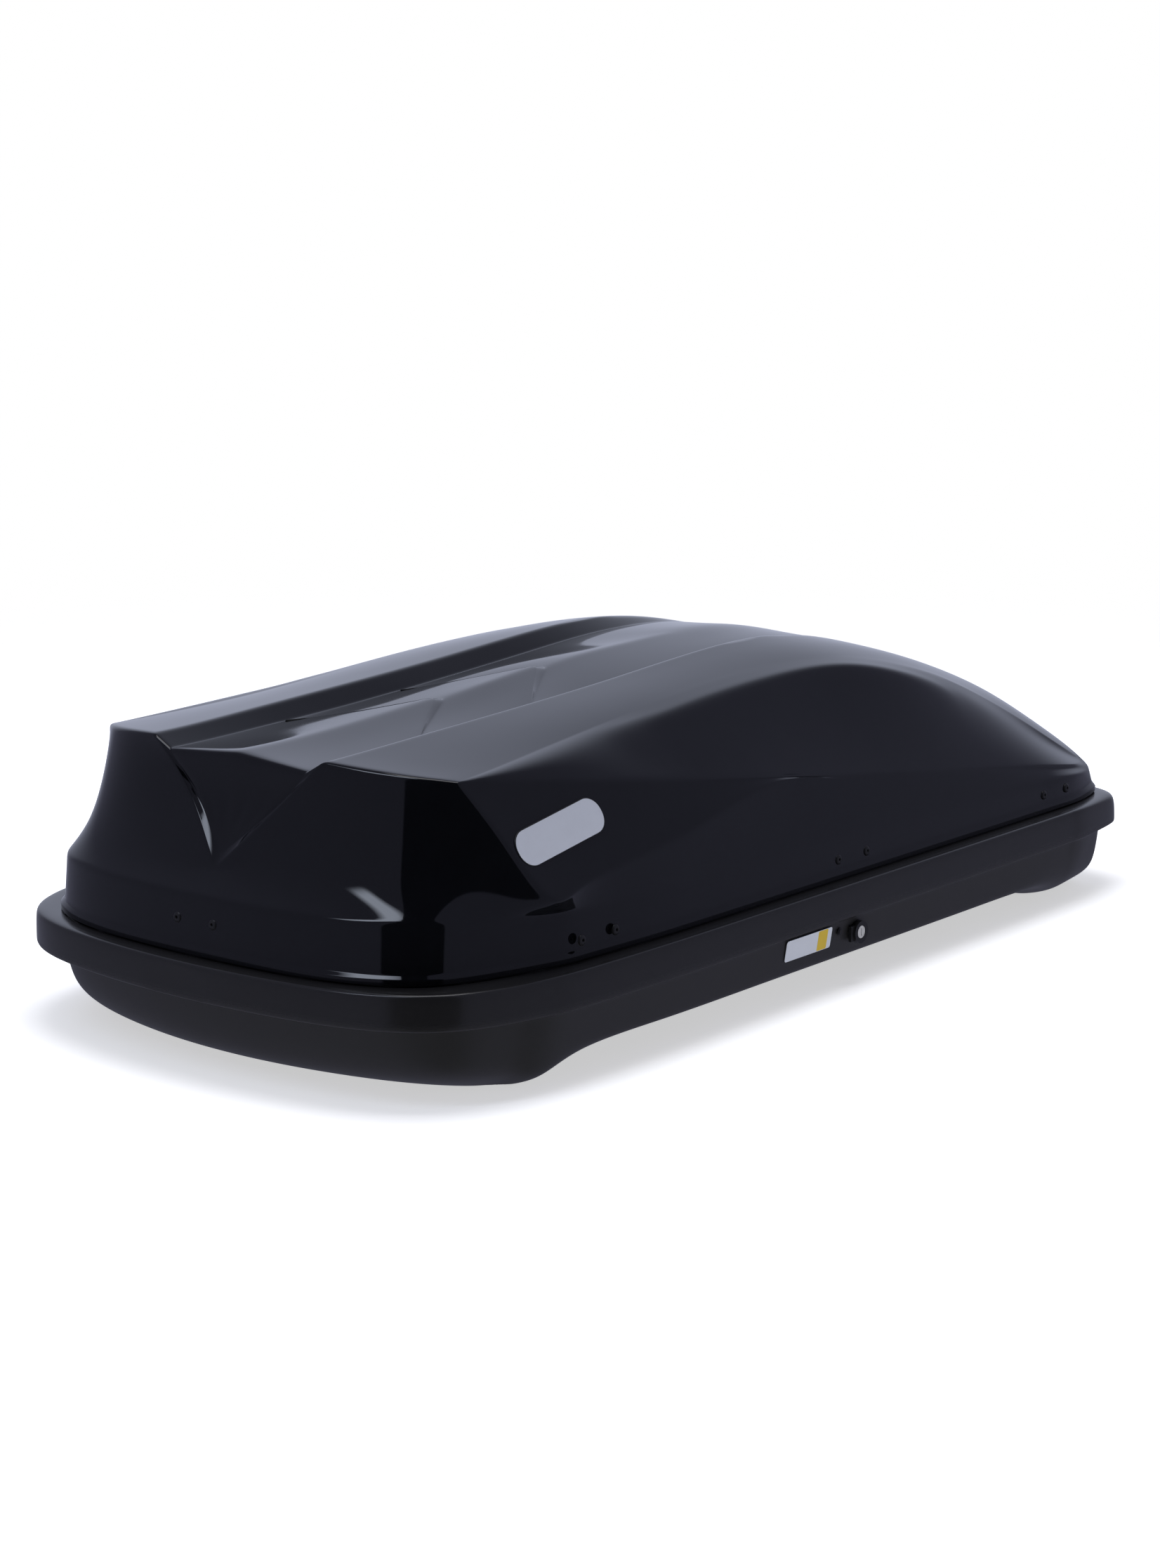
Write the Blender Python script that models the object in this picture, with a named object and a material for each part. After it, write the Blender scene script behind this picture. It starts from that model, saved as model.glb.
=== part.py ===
"""Roof cargo box: side-opening lid on a tray, with hinges, stays, a key lock and crossbar clamps.

Metres, +Z up. +X is the nose, +Y the hinge side, -Y the lock side. The origin is the middle of the
footprint on the ground. The tray stands on two lobes, and the crossbars pass between them.
"""

from math import cos, pi, radians, sin

import bmesh
import bpy
from mathutils import Matrix, Vector

# ---------------------------------------------------------------- driving dimensions
GAP = 0.0003                   # between pieces that touch

TRAY_HALF = (0.665, 0.3375)
TRAY_REAR = (0.0572, 7.1)      # how far the end bows in at the corners, squareness of the corners
TRAY_NOSE = (0.0064, 12.8)
RIM_TOP = 0.1150
RIM_FOOT = 0.0770
MID_FLOOR = 0.0313
TRAY_WALL = 0.0040
LOBE_EDGES = (-0.478, -0.432, 0.412, 0.458)
UPSTAND_INSET = 0.0360         # wall inside the rim that the lid closes over

LID_HALF = (0.644, 0.3175)
LID_REAR = (0.0363, 5.66)
LID_NOSE = (0.0060, 13.6)
LID_FOOT = 0.1168
LID_WALL = 0.0035

HINGE_AXIS = (0.3265, 0.1210)  # y, z
HINGE_STATIONS = (-0.26, 0.02, 0.30)

LOCK = (0.0335, 0.0585)        # x, z on the lock side wall
LOCK_CRANK = 0.0085
BAR_Y, BAR_Z = -0.3045, 0.0840
LATCH_STATIONS = (-0.4015, 0.0487, 0.4815)
LATCH_WING = 0.0380

STAY_STATIONS = (-0.505, 0.505)
STAY_ARM = 0.250
STAY_ANGLE = radians(18)
STAY_THICK = 0.0030

BADGE_AT = (-0.419, -0.284, 0.241)
BADGE_TILT = 19.0

CLAMP_X, CLAMP_Y = 0.250, 0.235
LEG_PITCH = 0.080
BOLT_R = 0.0035
CLAMP_TRAVEL = 0.050

COLOURS = {
    "gloss_black": ((0.010, 0.011, 0.014), 0.08, 0.0),
    "satin_black": ((0.018, 0.018, 0.019), 0.42, 0.0),
    "moulded_black": ((0.022, 0.022, 0.023), 0.50, 0.0),
    "rubber": ((0.020, 0.020, 0.020), 0.75, 0.0),
    "zinc": ((0.62, 0.63, 0.65), 0.32, 1.0),
    "nickel": ((0.72, 0.72, 0.70), 0.22, 1.0),
    "label_white": ((0.85, 0.85, 0.84), 0.45, 0.0),
}


# ---------------------------------------------------------------- helpers
def material(name):
    """One Principled material per finish, shared by the pieces made of it."""
    found = bpy.data.materials.get(name)
    if found:
        return found
    colour, roughness, metallic = COLOURS[name]
    made = bpy.data.materials.new(name)
    made.use_nodes = True
    shader = made.node_tree.nodes["Principled BSDF"]
    shader.inputs["Base Color"].default_value = (*colour, 1.0)
    shader.inputs["Roughness"].default_value = roughness
    shader.inputs["Metallic"].default_value = metallic
    made.diffuse_color = (*colour, 1.0)
    return made


def add_mesh(name, verts, faces, finish, origin=(0, 0, 0)):
    """A mesh object whose vertices are world positions and whose origin is the given point."""
    mesh = bpy.data.meshes.new(name)
    mesh.from_pydata([Vector(v) - Vector(origin) for v in verts], [], faces)
    mesh.validate()
    mesh.materials.append(material(finish))
    made = bpy.data.objects.new(name, mesh)
    made.location = origin
    bpy.context.collection.objects.link(made)
    return made


def fix_normals(obj):
    bm = bmesh.new()
    bm.from_mesh(obj.data)
    bmesh.ops.remove_doubles(bm, verts=bm.verts, dist=1e-6)
    bmesh.ops.recalc_face_normals(bm, faces=bm.faces)
    bm.to_mesh(obj.data)
    bm.free()


def face_out(obj):
    """Point an open skin's faces away from the inside of the box."""
    bm = bmesh.new()
    bm.from_mesh(obj.data)
    bmesh.ops.recalc_face_normals(bm, faces=bm.faces)
    middle = Vector((0, 0, RIM_TOP))
    outward = sum((f.calc_center_median() - middle).dot(f.normal) * f.calc_area() for f in bm.faces)
    if outward < 0:
        bmesh.ops.reverse_faces(bm, faces=bm.faces)
    bm.to_mesh(obj.data)
    bm.free()


def prism(name, outline, low, high, axis, finish, origin=(0, 0, 0)):
    """A closed outline pushed along an axis. Its points are the other two coordinates, in X, Y, Z order."""
    def place(point, level):
        rest = list(point)
        rest.insert("xyz".index(axis), level)
        return tuple(rest)

    count = len(outline)
    verts = [place(p, low) for p in outline] + [place(p, high) for p in outline]
    faces = [tuple(range(count)), tuple(range(2 * count - 1, count - 1, -1))]
    faces += [(i, (i + 1) % count, (i + 1) % count + count, i + count) for i in range(count)]
    made = add_mesh(name, verts, faces, finish, origin)
    fix_normals(made)
    return made


def box(name, low, high, finish, origin=(0, 0, 0)):
    corners = [(low[0], low[1]), (high[0], low[1]), (high[0], high[1]), (low[0], high[1])]
    return prism(name, corners, low[2], high[2], "z", finish, origin)


def circle(centre, radius, count, start=0.0):
    return [(centre[0] + radius * cos(start + 2 * pi * i / count),
             centre[1] + radius * sin(start + 2 * pi * i / count)) for i in range(count)]


def rod(name, centre, radius, low, high, axis, finish, sides=16, origin=(0, 0, 0)):
    return prism(name, circle(centre, radius, sides, pi / sides), low, high, axis, finish, origin)


def combine(target, tools, operation):
    """Join or cut with the tools, keep the result in the target and drop the tools."""
    for tool in tools:
        step = target.modifiers.new(operation, "BOOLEAN")
        step.operation = operation
        step.solver = "EXACT"
        step.object = tool
        evaluated = target.evaluated_get(bpy.context.evaluated_depsgraph_get())
        mesh = bpy.data.meshes.new_from_object(evaluated)
        target.modifiers.clear()
        mesh.name = target.name
        target.data = mesh
        bpy.data.objects.remove(tool)
    return target


def union(target, *tools):
    return combine(target, tools, "UNION")


def cut(target, *tools):
    return combine(target, tools, "DIFFERENCE")


def smooth(obj, angle=35):
    obj.data.shade_smooth()
    obj.data.set_sharp_from_angle(angle=radians(angle))
    return obj


def along(points, x):
    """Value of a smooth curve through (x, value, ...) points, as a tuple of the values."""
    if x <= points[0][0]:
        return tuple(points[0][1:])
    if x >= points[-1][0]:
        return tuple(points[-1][1:])
    k = max(i for i in range(len(points) - 1) if points[i][0] <= x)
    left, right = points[k], points[k + 1]
    width = right[0] - left[0]
    t = (x - left[0]) / width

    def slope(i, c):
        before, after = points[max(i - 1, 0)], points[min(i + 1, len(points) - 1)]
        return (after[c] - before[c]) / (after[0] - before[0])

    out = []
    for c in range(1, len(left)):
        m0, m1 = slope(k, c) * width, slope(k + 1, c) * width
        rise = right[c] - left[c]
        out.append(left[c] + t * (m0 + t * (3 * rise - 2 * m0 - m1 + t * (m0 + m1 - 2 * rise))))
    return tuple(out)


def mix(p, q, t):
    return tuple(a + (b - a) * t for a, b in zip(p, q))


# ---------------------------------------------------------------- plan outlines
class Plan:
    """Rounded box outline: straight sides, ends that bow out in the middle."""

    def __init__(self, half, rear, nose):
        self.half, self.rear, self.nose = half, rear, nose

    def end(self, part, side, inset):
        """Point on an end, at a part of the half width. side is -1 at the rear and +1 at the nose."""
        bow, square = self.rear if side < 0 else self.nose
        reach = self.half[0] - inset[0] - bow * part * part
        x = reach * (1 - part ** square) ** (1 / square)
        return side * x, part * (self.half[1] - inset[1])

    def flank(self, x, inset):
        """Point on the long side at x."""
        bow, square = self.rear if x < 0 else self.nose
        reach = self.half[0] - inset[0] - bow
        return x, (self.half[1] - inset[1]) * (1 - (abs(x) / reach) ** square) ** (1 / square)


TRAY_PLAN = Plan(TRAY_HALF, TRAY_REAR, TRAY_NOSE)
LID_PLAN = Plan(LID_HALF, LID_REAR, LID_NOSE)


# ---------------------------------------------------------------- skins
class Skin:
    """Surface of quads that is symmetric about the XZ plane. Points that meet are shared."""

    def __init__(self):
        self.index, self.points, self.faces = {}, [], []

    def vert(self, p):
        key = tuple(round(c, 5) + 0.0 for c in p)
        if key not in self.index:
            self.index[key] = len(self.points)
            self.points.append(p)
        return self.index[key]

    def face(self, *corners):
        for sign in (1, -1):
            ring = []
            for p in corners[::sign]:
                i = self.vert((p[0], sign * p[1], p[2]))
                if i not in ring:
                    ring.append(i)
            if len(ring) > 2:
                self.faces.append(ring)

    def grid(self, rows):
        for upper, lower in zip(rows, rows[1:]):
            for i in range(len(upper) - 1):
                self.face(upper[i], upper[i + 1], lower[i + 1], lower[i])

    def build(self, name, finish, wall):
        """The skin as a closed shell: the same faces again a wall's thickness further in."""
        made = add_mesh(name, self.points, self.faces, finish)
        face_out(made)
        bm = bmesh.new()
        bm.from_mesh(made.data)
        bm.normal_update()
        inner = {}
        for vert in list(bm.verts):
            flat = min(vert.normal.dot(face.normal) for face in vert.link_faces)
            inner[vert] = bm.verts.new(vert.co - vert.normal * wall / max(flat, 0.7))
        edges = [edge for edge in bm.edges if len(edge.link_faces) == 1]
        for face in list(bm.faces):
            bm.faces.new([inner[vert] for vert in reversed(face.verts)])
        for edge in edges:
            loop = edge.link_loops[0]
            start, end = loop.vert, loop.link_loop_next.vert
            bm.faces.new((end, start, inner[start], inner[end]))
        bmesh.ops.triangulate(bm, faces=bm.faces)
        bm.to_mesh(made.data)
        bm.free()
        return made


# ---------------------------------------------------------------- lid
# Rails run from the rear to the nose on the +Y half: (x, y, z).
SHOULDER = ((-0.520, 0.243, 0.301), (-0.400, 0.225, 0.307), (-0.280, 0.213, 0.3155),
            (-0.160, 0.206, 0.325), (-0.040, 0.203, 0.3325), (0.080, 0.205, 0.3345),
            (0.160, 0.211, 0.3305), (0.248, 0.220, 0.3157), (0.375, 0.225, 0.280),
            (0.506, 0.238, 0.2217), (0.605, 0.280, 0.154))
BEVEL = ((-0.520, 0.243, 0.301), (-0.400, 0.246, 0.3035), (-0.274, 0.237, 0.309),
         (-0.069, 0.228, 0.3226), (0.109, 0.228, 0.3244), (0.193, 0.235, 0.3154),
         (0.279, 0.243, 0.294), (0.407, 0.252, 0.2437), (0.539, 0.268, 0.183), (0.605, 0.280, 0.154))
CREASE = ((-0.520, 0.243, 0.301), (-0.365, 0.270, 0.2817), (-0.212, 0.288, 0.262),
          (-0.087, 0.300, 0.2466), (0.045, 0.303, 0.229), (0.323, 0.303, 0.193),
          (0.553, 0.297, 0.160), (0.605, 0.280, 0.154))
FOLD = ((-0.466, 0.310, 0.186), (-0.220, 0.311, 0.2195), (-0.090, 0.3055, 0.239),
        (0.045, 0.3055, 0.222), (0.323, 0.3055, 0.186), (0.553, 0.300, 0.153), (0.612, 0.290, 0.146))

# The top's middle: (x, z) of the ridges and the spine, then (x, depth) of the channel's floor.
RIDGE = ((-0.5745, 0.313), (-0.188, 0.3326), (0.0, 0.3455), (0.092, 0.3497), (0.157, 0.348),
         (0.225, 0.3406), (0.283, 0.330), (0.343, 0.314), (0.405, 0.296), (0.534, 0.249), (0.622, 0.2035))
SPINE = ((-0.575, 0.309), (-0.346, 0.3192), (-0.127, 0.335), (0.0, 0.340), (0.140, 0.3435),
         (0.247, 0.340), (0.350, 0.3165), (0.450, 0.283), (0.534, 0.252), (0.622, 0.207))
CHANNEL_DEPTH = ((-0.575, 0.011), (-0.300, 0.015), (0.0, 0.014), (0.150, 0.009), (0.250, 0.003),
                 (0.330, 0.0))
CROWN = ((-0.575, 0.001), (0.100, 0.002), (0.335, 0.006), (0.610, 0.015))
BAND_TOP = ((-0.47, 0.1680), (-0.30, 0.1630), (0.10, 0.1630), (0.553, 0.1470), (0.612, 0.1410))

RIDGE_Y, FLOOR_Y = 0.118, 0.0956
SPREAD = (0.40, 0.70, 0.88)              # columns between the ridge and the shoulder
LID_STEPS = (0.0, 0.05, 0.12, 0.20, 0.28, 0.37, 0.46, 0.55, 0.63, 0.71, 0.79, 0.87, 0.94, 1.0)
REAR_PARTS = (0.0, 0.45, 0.72, 0.87, 0.955)
NOSE_PARTS = (0.0, 0.20, 0.38, 0.60, 0.80, 0.915, 0.955)
TIP_OUT = (-0.6127, 0.0, 0.2068)         # foot of the V on the rear wall
TIP_IN = (-0.6030, 0.0, 0.2130)
BAND_INSET = (0.0080, 0.0050)
FLARE_INSET = (0.0035, 0.0035)


def lid_top_row(t):
    """Points across the top from the middle to the shoulder, at a part t of the length."""
    def reach(y):
        rear = -0.575 + 0.055 * (y / 0.243) ** 4
        nose = 0.622 - 0.017 * (y / 0.280) ** 4
        return rear, nose

    x = mix(*[(e,) for e in reach(0)], t)[0]
    spine = along(SPINE, x)[0]
    ridge = along(RIDGE, x)[0]
    floor = spine * 0.19 + ridge * 0.81 - along(CHANNEL_DEPTH, x)[0]
    row = [(x, 0.0, spine), (x, FLOOR_Y, floor), (x, RIDGE_Y, ridge)]
    a_x = -0.520 + 1.125 * t
    shoulder_y, shoulder_z = along(SHOULDER, a_x)
    crown = along(CROWN, x)[0]
    for g in SPREAD:
        y = RIDGE_Y + (shoulder_y - RIDGE_Y) * g
        y_rear = RIDGE_Y + (0.243 - RIDGE_Y) * g
        y_nose = RIDGE_Y + (0.280 - RIDGE_Y) * g
        x_here = reach(y_rear)[0] * (1 - t) + reach(y_nose)[1] * t
        row.append((x_here, y, ridge + (shoulder_z - ridge) * g + 4 * crown * g * (1 - g)))
    row.append((a_x, shoulder_y, shoulder_z))
    return row


def lid_foot(plan_point):
    """The band's foot, the flared lip and its lower edge below a point found by plan_point(inset)."""
    out = []
    for inset, z in ((FLARE_INSET, 0.1285), ((0.0, 0.0), 0.1225), ((0.0, 0.0), LID_FOOT)):
        out.append((*plan_point(inset), z))
    return out


def lid_side_spoke(t, top):
    """Points down the side from the shoulder to the lip."""
    x = top[0]
    bevel = (x, *along(BEVEL, x))
    crease = (x, *along(CREASE, x))
    x_fold = -0.466 + (0.612 + 0.466) * t
    fold = (x_fold, *along(FOLD, x_fold))
    half_way = mix(crease, fold, 0.5)
    x_band = -0.455 + (0.606 + 0.455) * t
    band = (*LID_PLAN.flank(x_band, BAND_INSET), along(BAND_TOP, x_band)[0])
    return [top, bevel, crease, half_way, fold, band, *lid_foot(lambda i: LID_PLAN.flank(x_band, i))]


def lid_end_spoke(top, part, side):
    """Points down the rear wall or the nose from the top's edge to the lip."""
    drop = (0.42, 0.775) if side < 0 else (0.35, 0.72)
    hollow = 0.0075 if side < 0 else -0.006
    band_z = 0.175 - 0.006 * part ** 6 if side < 0 else 0.150 - 0.009 * part ** 4
    band = (*LID_PLAN.end(part, side, BAND_INSET), band_z)
    spoke = [top, top, top]
    for s in drop:
        x, y, z = mix(top, band, s)
        pull = hollow * 4 * s * (1 - s)
        spoke.append((x - side * pull, y, z))
    return spoke + [band, *lid_foot(lambda i: LID_PLAN.end(part, side, i))]


def lid_skin():
    skin = Skin()
    top = [lid_top_row(t) for t in LID_STEPS]
    skin.grid([row[::-1] for row in top])

    rear_top, nose_top = top[0], top[-1]
    sides = [lid_side_spoke(t, row[-1]) for t, row in zip(LID_STEPS, top)]
    rear = [lid_end_spoke(p, part, -1) for p, part in zip([rear_top[0]] + rear_top[3:6], REAR_PARTS)]
    nose = [lid_end_spoke(p, part, 1) for p, part in zip(nose_top[:6], NOSE_PARTS)]

    # The V on the rear wall: a sunk panel, its step, and one spoke below the tip.
    spine_top, floor_top, ridge_top = rear_top[:3]
    edge_mid = mix(ridge_top, TIP_OUT, 0.52)
    edge_mid = (edge_mid[0] + 0.003, edge_mid[1], edge_mid[2])
    panel_mid = mix(spine_top, TIP_IN, 0.52)
    floor_mid = (panel_mid[0], edge_mid[1] - 0.006, panel_mid[2] - 0.003)
    skin.face(spine_top, panel_mid, floor_mid, floor_top)
    skin.face(panel_mid, TIP_IN, floor_mid)
    skin.face(floor_top, floor_mid, edge_mid, ridge_top)
    skin.face(floor_mid, TIP_IN, TIP_OUT, edge_mid)
    beside = rear[1]
    skin.face(ridge_top, edge_mid, beside[3], beside[0])
    skin.face(edge_mid, TIP_OUT, beside[4], beside[3])
    rear[0][4] = TIP_OUT
    below_tip = [spoke[4:] for spoke in (rear[0], rear[1])]

    skin.grid(below_tip)
    skin.grid(rear[1:] + sides + nose[::-1])
    return skin


def make_lid():
    lid = lid_skin().build("lid_shell", "gloss_black", LID_WALL)
    return smooth(lid, 28)


# ---------------------------------------------------------------- tray
TRAY_STEPS = (*LOBE_EDGES[:2], -0.300, -0.150, 0.0, 0.150, 0.290, *LOBE_EDGES[2:], 0.530)
TRAY_REAR_PARTS = (0.0, 0.30, 0.60, 0.80, 0.90, 0.95)
TRAY_NOSE_PARTS = (0.0, 0.30, 0.60, 0.85, 0.935, 0.97)
TRAY_COLUMNS = (0.0, 0.32, 0.64, 0.82, 0.93)


def lobe(x):
    """1 over the two lobes, 0 over the raised floor between them."""
    return 0.0 if LOBE_EDGES[1] - 1e-6 <= x <= LOBE_EDGES[2] + 1e-6 else 1.0


def tray_levels(x, end):
    """Inset along x, inset along y and height of each row from the upstand down to the floor's edge."""
    w = lobe(x)
    ledge = 0.026 if end else 0.004
    rows = [(UPSTAND_INSET, UPSTAND_INSET, 0.1265), (UPSTAND_INSET, UPSTAND_INSET, RIM_TOP),
            (0.0075, 0.0075, RIM_TOP), (0, 0, RIM_TOP - 0.008), (0, 0, RIM_FOOT + 0.002),
            (ledge, ledge, RIM_FOOT - 0.002)]
    if end:
        return rows + [(0.031, 0.031, 0.040), (0.044, 0.044, 0.015), (0.090, 0.070, 0.0)]
    low = ((0.0080, 0.046), (0.0110, 0.0350), (0.0190, MID_FLOOR))
    deep = ((0.0085, 0.040), (0.0190, 0.0120), (0.0480, 0.0))
    for (y_low, z_low), (y_deep, z_deep) in zip(low, deep):
        y = y_low + (y_deep - y_low) * w
        rows.append((y, y, z_low + (z_deep - z_low) * w))
    return rows


def tray_side_spoke(x):
    return [(*TRAY_PLAN.flank(x, (dx, dy)), z) for dx, dy, z in tray_levels(x, False)]


def tray_end_spoke(part, side):
    """Points down an end. Towards the corner they step in more and more across the tray."""
    spoke = []
    for (dx, dy, z), (_, dy_side, _) in zip(tray_levels(side, True), tray_levels(side, False)):
        turn = (part / 0.96) ** 8 if z < RIM_FOOT else 0.0
        inset = (dx * (1 - 0.65 * turn), dy + (dy_side - dy) * 0.5 * turn)
        spoke.append((*TRAY_PLAN.end(part, side, inset), z))
    return spoke


def tray_skin():
    skin = Skin()
    rear = [tray_end_spoke(p, -1) for p in TRAY_REAR_PARTS]
    nose = [tray_end_spoke(p, 1) for p in TRAY_NOSE_PARTS]
    sides = [tray_side_spoke(x) for x in TRAY_STEPS]
    skin.grid(rear + sides + nose[::-1])

    # The floor's rows run across the tray, and its first and last rows are the edges of the ends.
    rear_edge = [spoke[-1] for spoke in rear]
    nose_edge = [spoke[-1] for spoke in nose]
    rows = [rear_edge]
    for spoke in sides:
        x, y, z = spoke[-1]
        rows.append([(x, y * c, z) for c in TRAY_COLUMNS] + [spoke[-1]])
    rows.append(nose_edge)
    skin.grid(rows)
    return skin


def slot_cutter(x, y):
    """Slot in the raised floor, long enough for a U-bolt's legs over the clamp's whole travel."""
    half = LEG_PITCH / 2 + CLAMP_TRAVEL + BOLT_R + 0.0015
    wide = BOLT_R + 0.0015
    low, high = (x - half, y - wide, MID_FLOOR - 0.02), (x + half, y + wide, MID_FLOOR + 0.02)
    return box("slot_cutter", low, high, "satin_black")


def make_tray():
    tray = tray_skin().build("base_shell", "satin_black", TRAY_WALL)
    cutters = [slot_cutter(sx * CLAMP_X, sy * CLAMP_Y) for sx in (-1, 1) for sy in (-1, 1)]
    lock_hole = rod("lock_hole", LOCK, 0.0100, -0.36, -0.30, "y", "satin_black", 20)
    cut(tray, *cutters, lock_hole)
    return smooth(tray, 28)


def make_rails():
    """Two folded steel strips that stiffen the raised floor."""
    floor = MID_FLOOR + TRAY_WALL + GAP
    for side, name in ((1, "left"), (-1, "right")):
        y, half, thick, up = side * 0.105, 0.018, 0.0015, 0.008
        outline = [(y - half, floor), (y + half, floor), (y + half, floor + up),
                   (y + half - thick, floor + up), (y + half - thick, floor + thick),
                   (y - half + thick, floor + thick),
                   (y - half + thick, floor + up), (y - half, floor + up)]
        prism("base_rail_" + name, outline, -0.400, 0.385, "x", "zinc")


def make_seal():
    """A flat foam strip on the tray's rim, under the lid's lip."""
    half = [LID_PLAN.end(p, -1, (0, 0)) for p in REAR_PARTS]
    half += [LID_PLAN.flank(x, (0, 0)) for x in (-0.43, -0.33, -0.15, 0.05, 0.25, 0.43, 0.56)]
    half += [LID_PLAN.end(p, 1, (0, 0)) for p in NOSE_PARTS[::-1]]
    ring = half + [(x, -y) for x, y in half[-2:0:-1]]
    scale = (1 - 0.0045 / LID_HALF[0], 1 - 0.0045 / LID_HALF[1])
    outer = [(x * (1 - 0.0008 / LID_HALF[0]), y * (1 - 0.0008 / LID_HALF[1])) for x, y in ring]
    inner = [(x * scale[0], y * scale[1]) for x, y in ring]
    low, high = RIM_TOP + GAP, LID_FOOT - GAP
    count = len(ring)
    verts = [(x, y, z) for z in (low, high) for loop in (outer, inner) for x, y in loop]
    faces = []
    for i in range(count):
        j = (i + 1) % count
        faces += [(i, j, count + j, count + i),
                  (2 * count + i, 3 * count + i, 3 * count + j, 2 * count + j),
                  (i, 2 * count + i, 2 * count + j, j),
                  (count + i, count + j, 3 * count + j, 3 * count + i)]
    fix_normals(add_mesh("lid_seal", verts, faces, "rubber"))


# ---------------------------------------------------------------- hinges
def make_hinge(number, x):
    """Outer leaf over the rim's edge, inner leaf up the lid's band, and the pin in their knuckles."""
    y, z = HINGE_AXIS
    axis_point = (x, y, z)
    knuckle, bore, pin = 0.0038, 0.0023, 0.0018
    half, middle, play = 0.024, 0.009, 0.0004
    name = "hinge_%d_" % number
    rim_y = TRAY_HALF[1]

    strap = [(rim_y + 0.0003, 0.0880), (rim_y + 0.0020, 0.0880), (rim_y + 0.0020, 0.1079),
             (rim_y - 0.0065, 0.1166), (y - 0.0030, 0.1166), (y - 0.0030, RIM_TOP + GAP),
             (rim_y - 0.0073, RIM_TOP + GAP), (rim_y + 0.0003, 0.1072)]
    base_leaf = prism(name + "base_leaf", strap, x - half, x + half, "x", "zinc", axis_point)
    for low, high in ((x - half, x - middle - play), (x + middle + play, x + half)):
        web = prism("web", [(y - 0.0028, 0.1160), (y + 0.0028, 0.1160), (y + 0.0028, z), (y - 0.0028, z)],
                    low, high, "x", "zinc")
        union(base_leaf, web, rod("barrel", (y, z), knuckle, low, high, "x", "zinc"))
    cut(base_leaf, rod("bore", (y, z), bore, x - 0.03, x + 0.03, "x", "zinc", 12))

    plate = [(0.3133, 0.1520), (0.3150, 0.1520), (0.3161, 0.1295), (0.3205, 0.1245), (y, 0.1240),
             (y, 0.1190), (0.3225, 0.1188), (0.3184, 0.1195), (0.3178, 0.1228), (0.3143, 0.1288)]
    lid_leaf = prism(name + "lid_leaf", plate, x - middle, x + middle, "x", "zinc", axis_point)
    union(lid_leaf, rod("barrel", (y, z), knuckle, x - middle, x + middle, "x", "zinc"))
    wing = [(0.3133, 0.1520), (0.3150, 0.1520), (0.3160, 0.1330), (0.3141, 0.1330)]
    union(lid_leaf, prism("wing", wing, x - half, x + half, "x", "zinc"))
    cut(lid_leaf, rod("bore", (y, z), bore, x - 0.03, x + 0.03, "x", "zinc", 12))

    reach = half + 0.001
    hinge_pin = rod(name + "pin", (y, z), pin, x - reach, x + reach, "x", "nickel", 12, axis_point)
    for piece in (base_leaf, lid_leaf, hinge_pin):
        smooth(piece)


# ---------------------------------------------------------------- lock and latches
def make_lock():
    """Key lock in the side wall: housing, nut, cylinder with a key slot, and the cam behind it."""
    x, z = LOCK
    axis_point = (x, -0.3300, z)
    housing = rod("lock_housing", LOCK, 0.0125, -0.3395, -0.3336, "y", "moulded_black", 32, axis_point)
    union(housing, rod("neck", LOCK, 0.0094, -0.3345, -0.3140, "y", "moulded_black", 24))
    low, high = (x - 0.0170, -0.3372, z - 0.0085), (x - 0.0050, -0.3337, z + 0.0085)
    union(housing, box("wing", low, high, "moulded_black"))
    cut(housing, rod("bore", LOCK, 0.0075, -0.36, -0.30, "y", "moulded_black", 24))
    smooth(housing)

    nut = rod("lock_nut", LOCK, 0.0140, -0.3238, -0.3190, "y", "zinc", 6, axis_point)
    cut(nut, rod("bore", LOCK, 0.0098, -0.36, -0.30, "y", "zinc", 24))

    cylinder = rod("lock_cylinder", LOCK, 0.0070, -0.3390, -0.3130, "y", "nickel", 24, axis_point)
    union(cylinder, rod("tail", LOCK, 0.0028, -0.3135, -0.3090, "y", "nickel", 12))
    low, high = (x - 0.0007, -0.345, z - 0.0042), (x + 0.0007, -0.3360, z + 0.0042)
    cut(cylinder, box("key_slot", low, high, "nickel"))
    smooth(cylinder)

    reach = LOCK_CRANK * sin(pi / 4)
    pin_at = (x - reach, z + reach)
    cam = rod("lock_cam", LOCK, 0.0060, -0.3127, -0.3095, "y", "zinc", 20, axis_point)
    arm = [(x - 0.0042, z - 0.0042), (x + 0.0042, z + 0.0042), (pin_at[0] + 0.0022, pin_at[1] + 0.0022),
           (pin_at[0] - 0.0022, pin_at[1] - 0.0022)]
    union(cam, prism("arm", arm, -0.3127, -0.3095, "y", "zinc"),
          rod("crank", pin_at, 0.0014, -0.3110, -0.3015, "y", "zinc", 10))
    cut(cam, rod("bore", LOCK, 0.0032, -0.36, -0.30, "y", "zinc", 12))
    smooth(cam)


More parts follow.
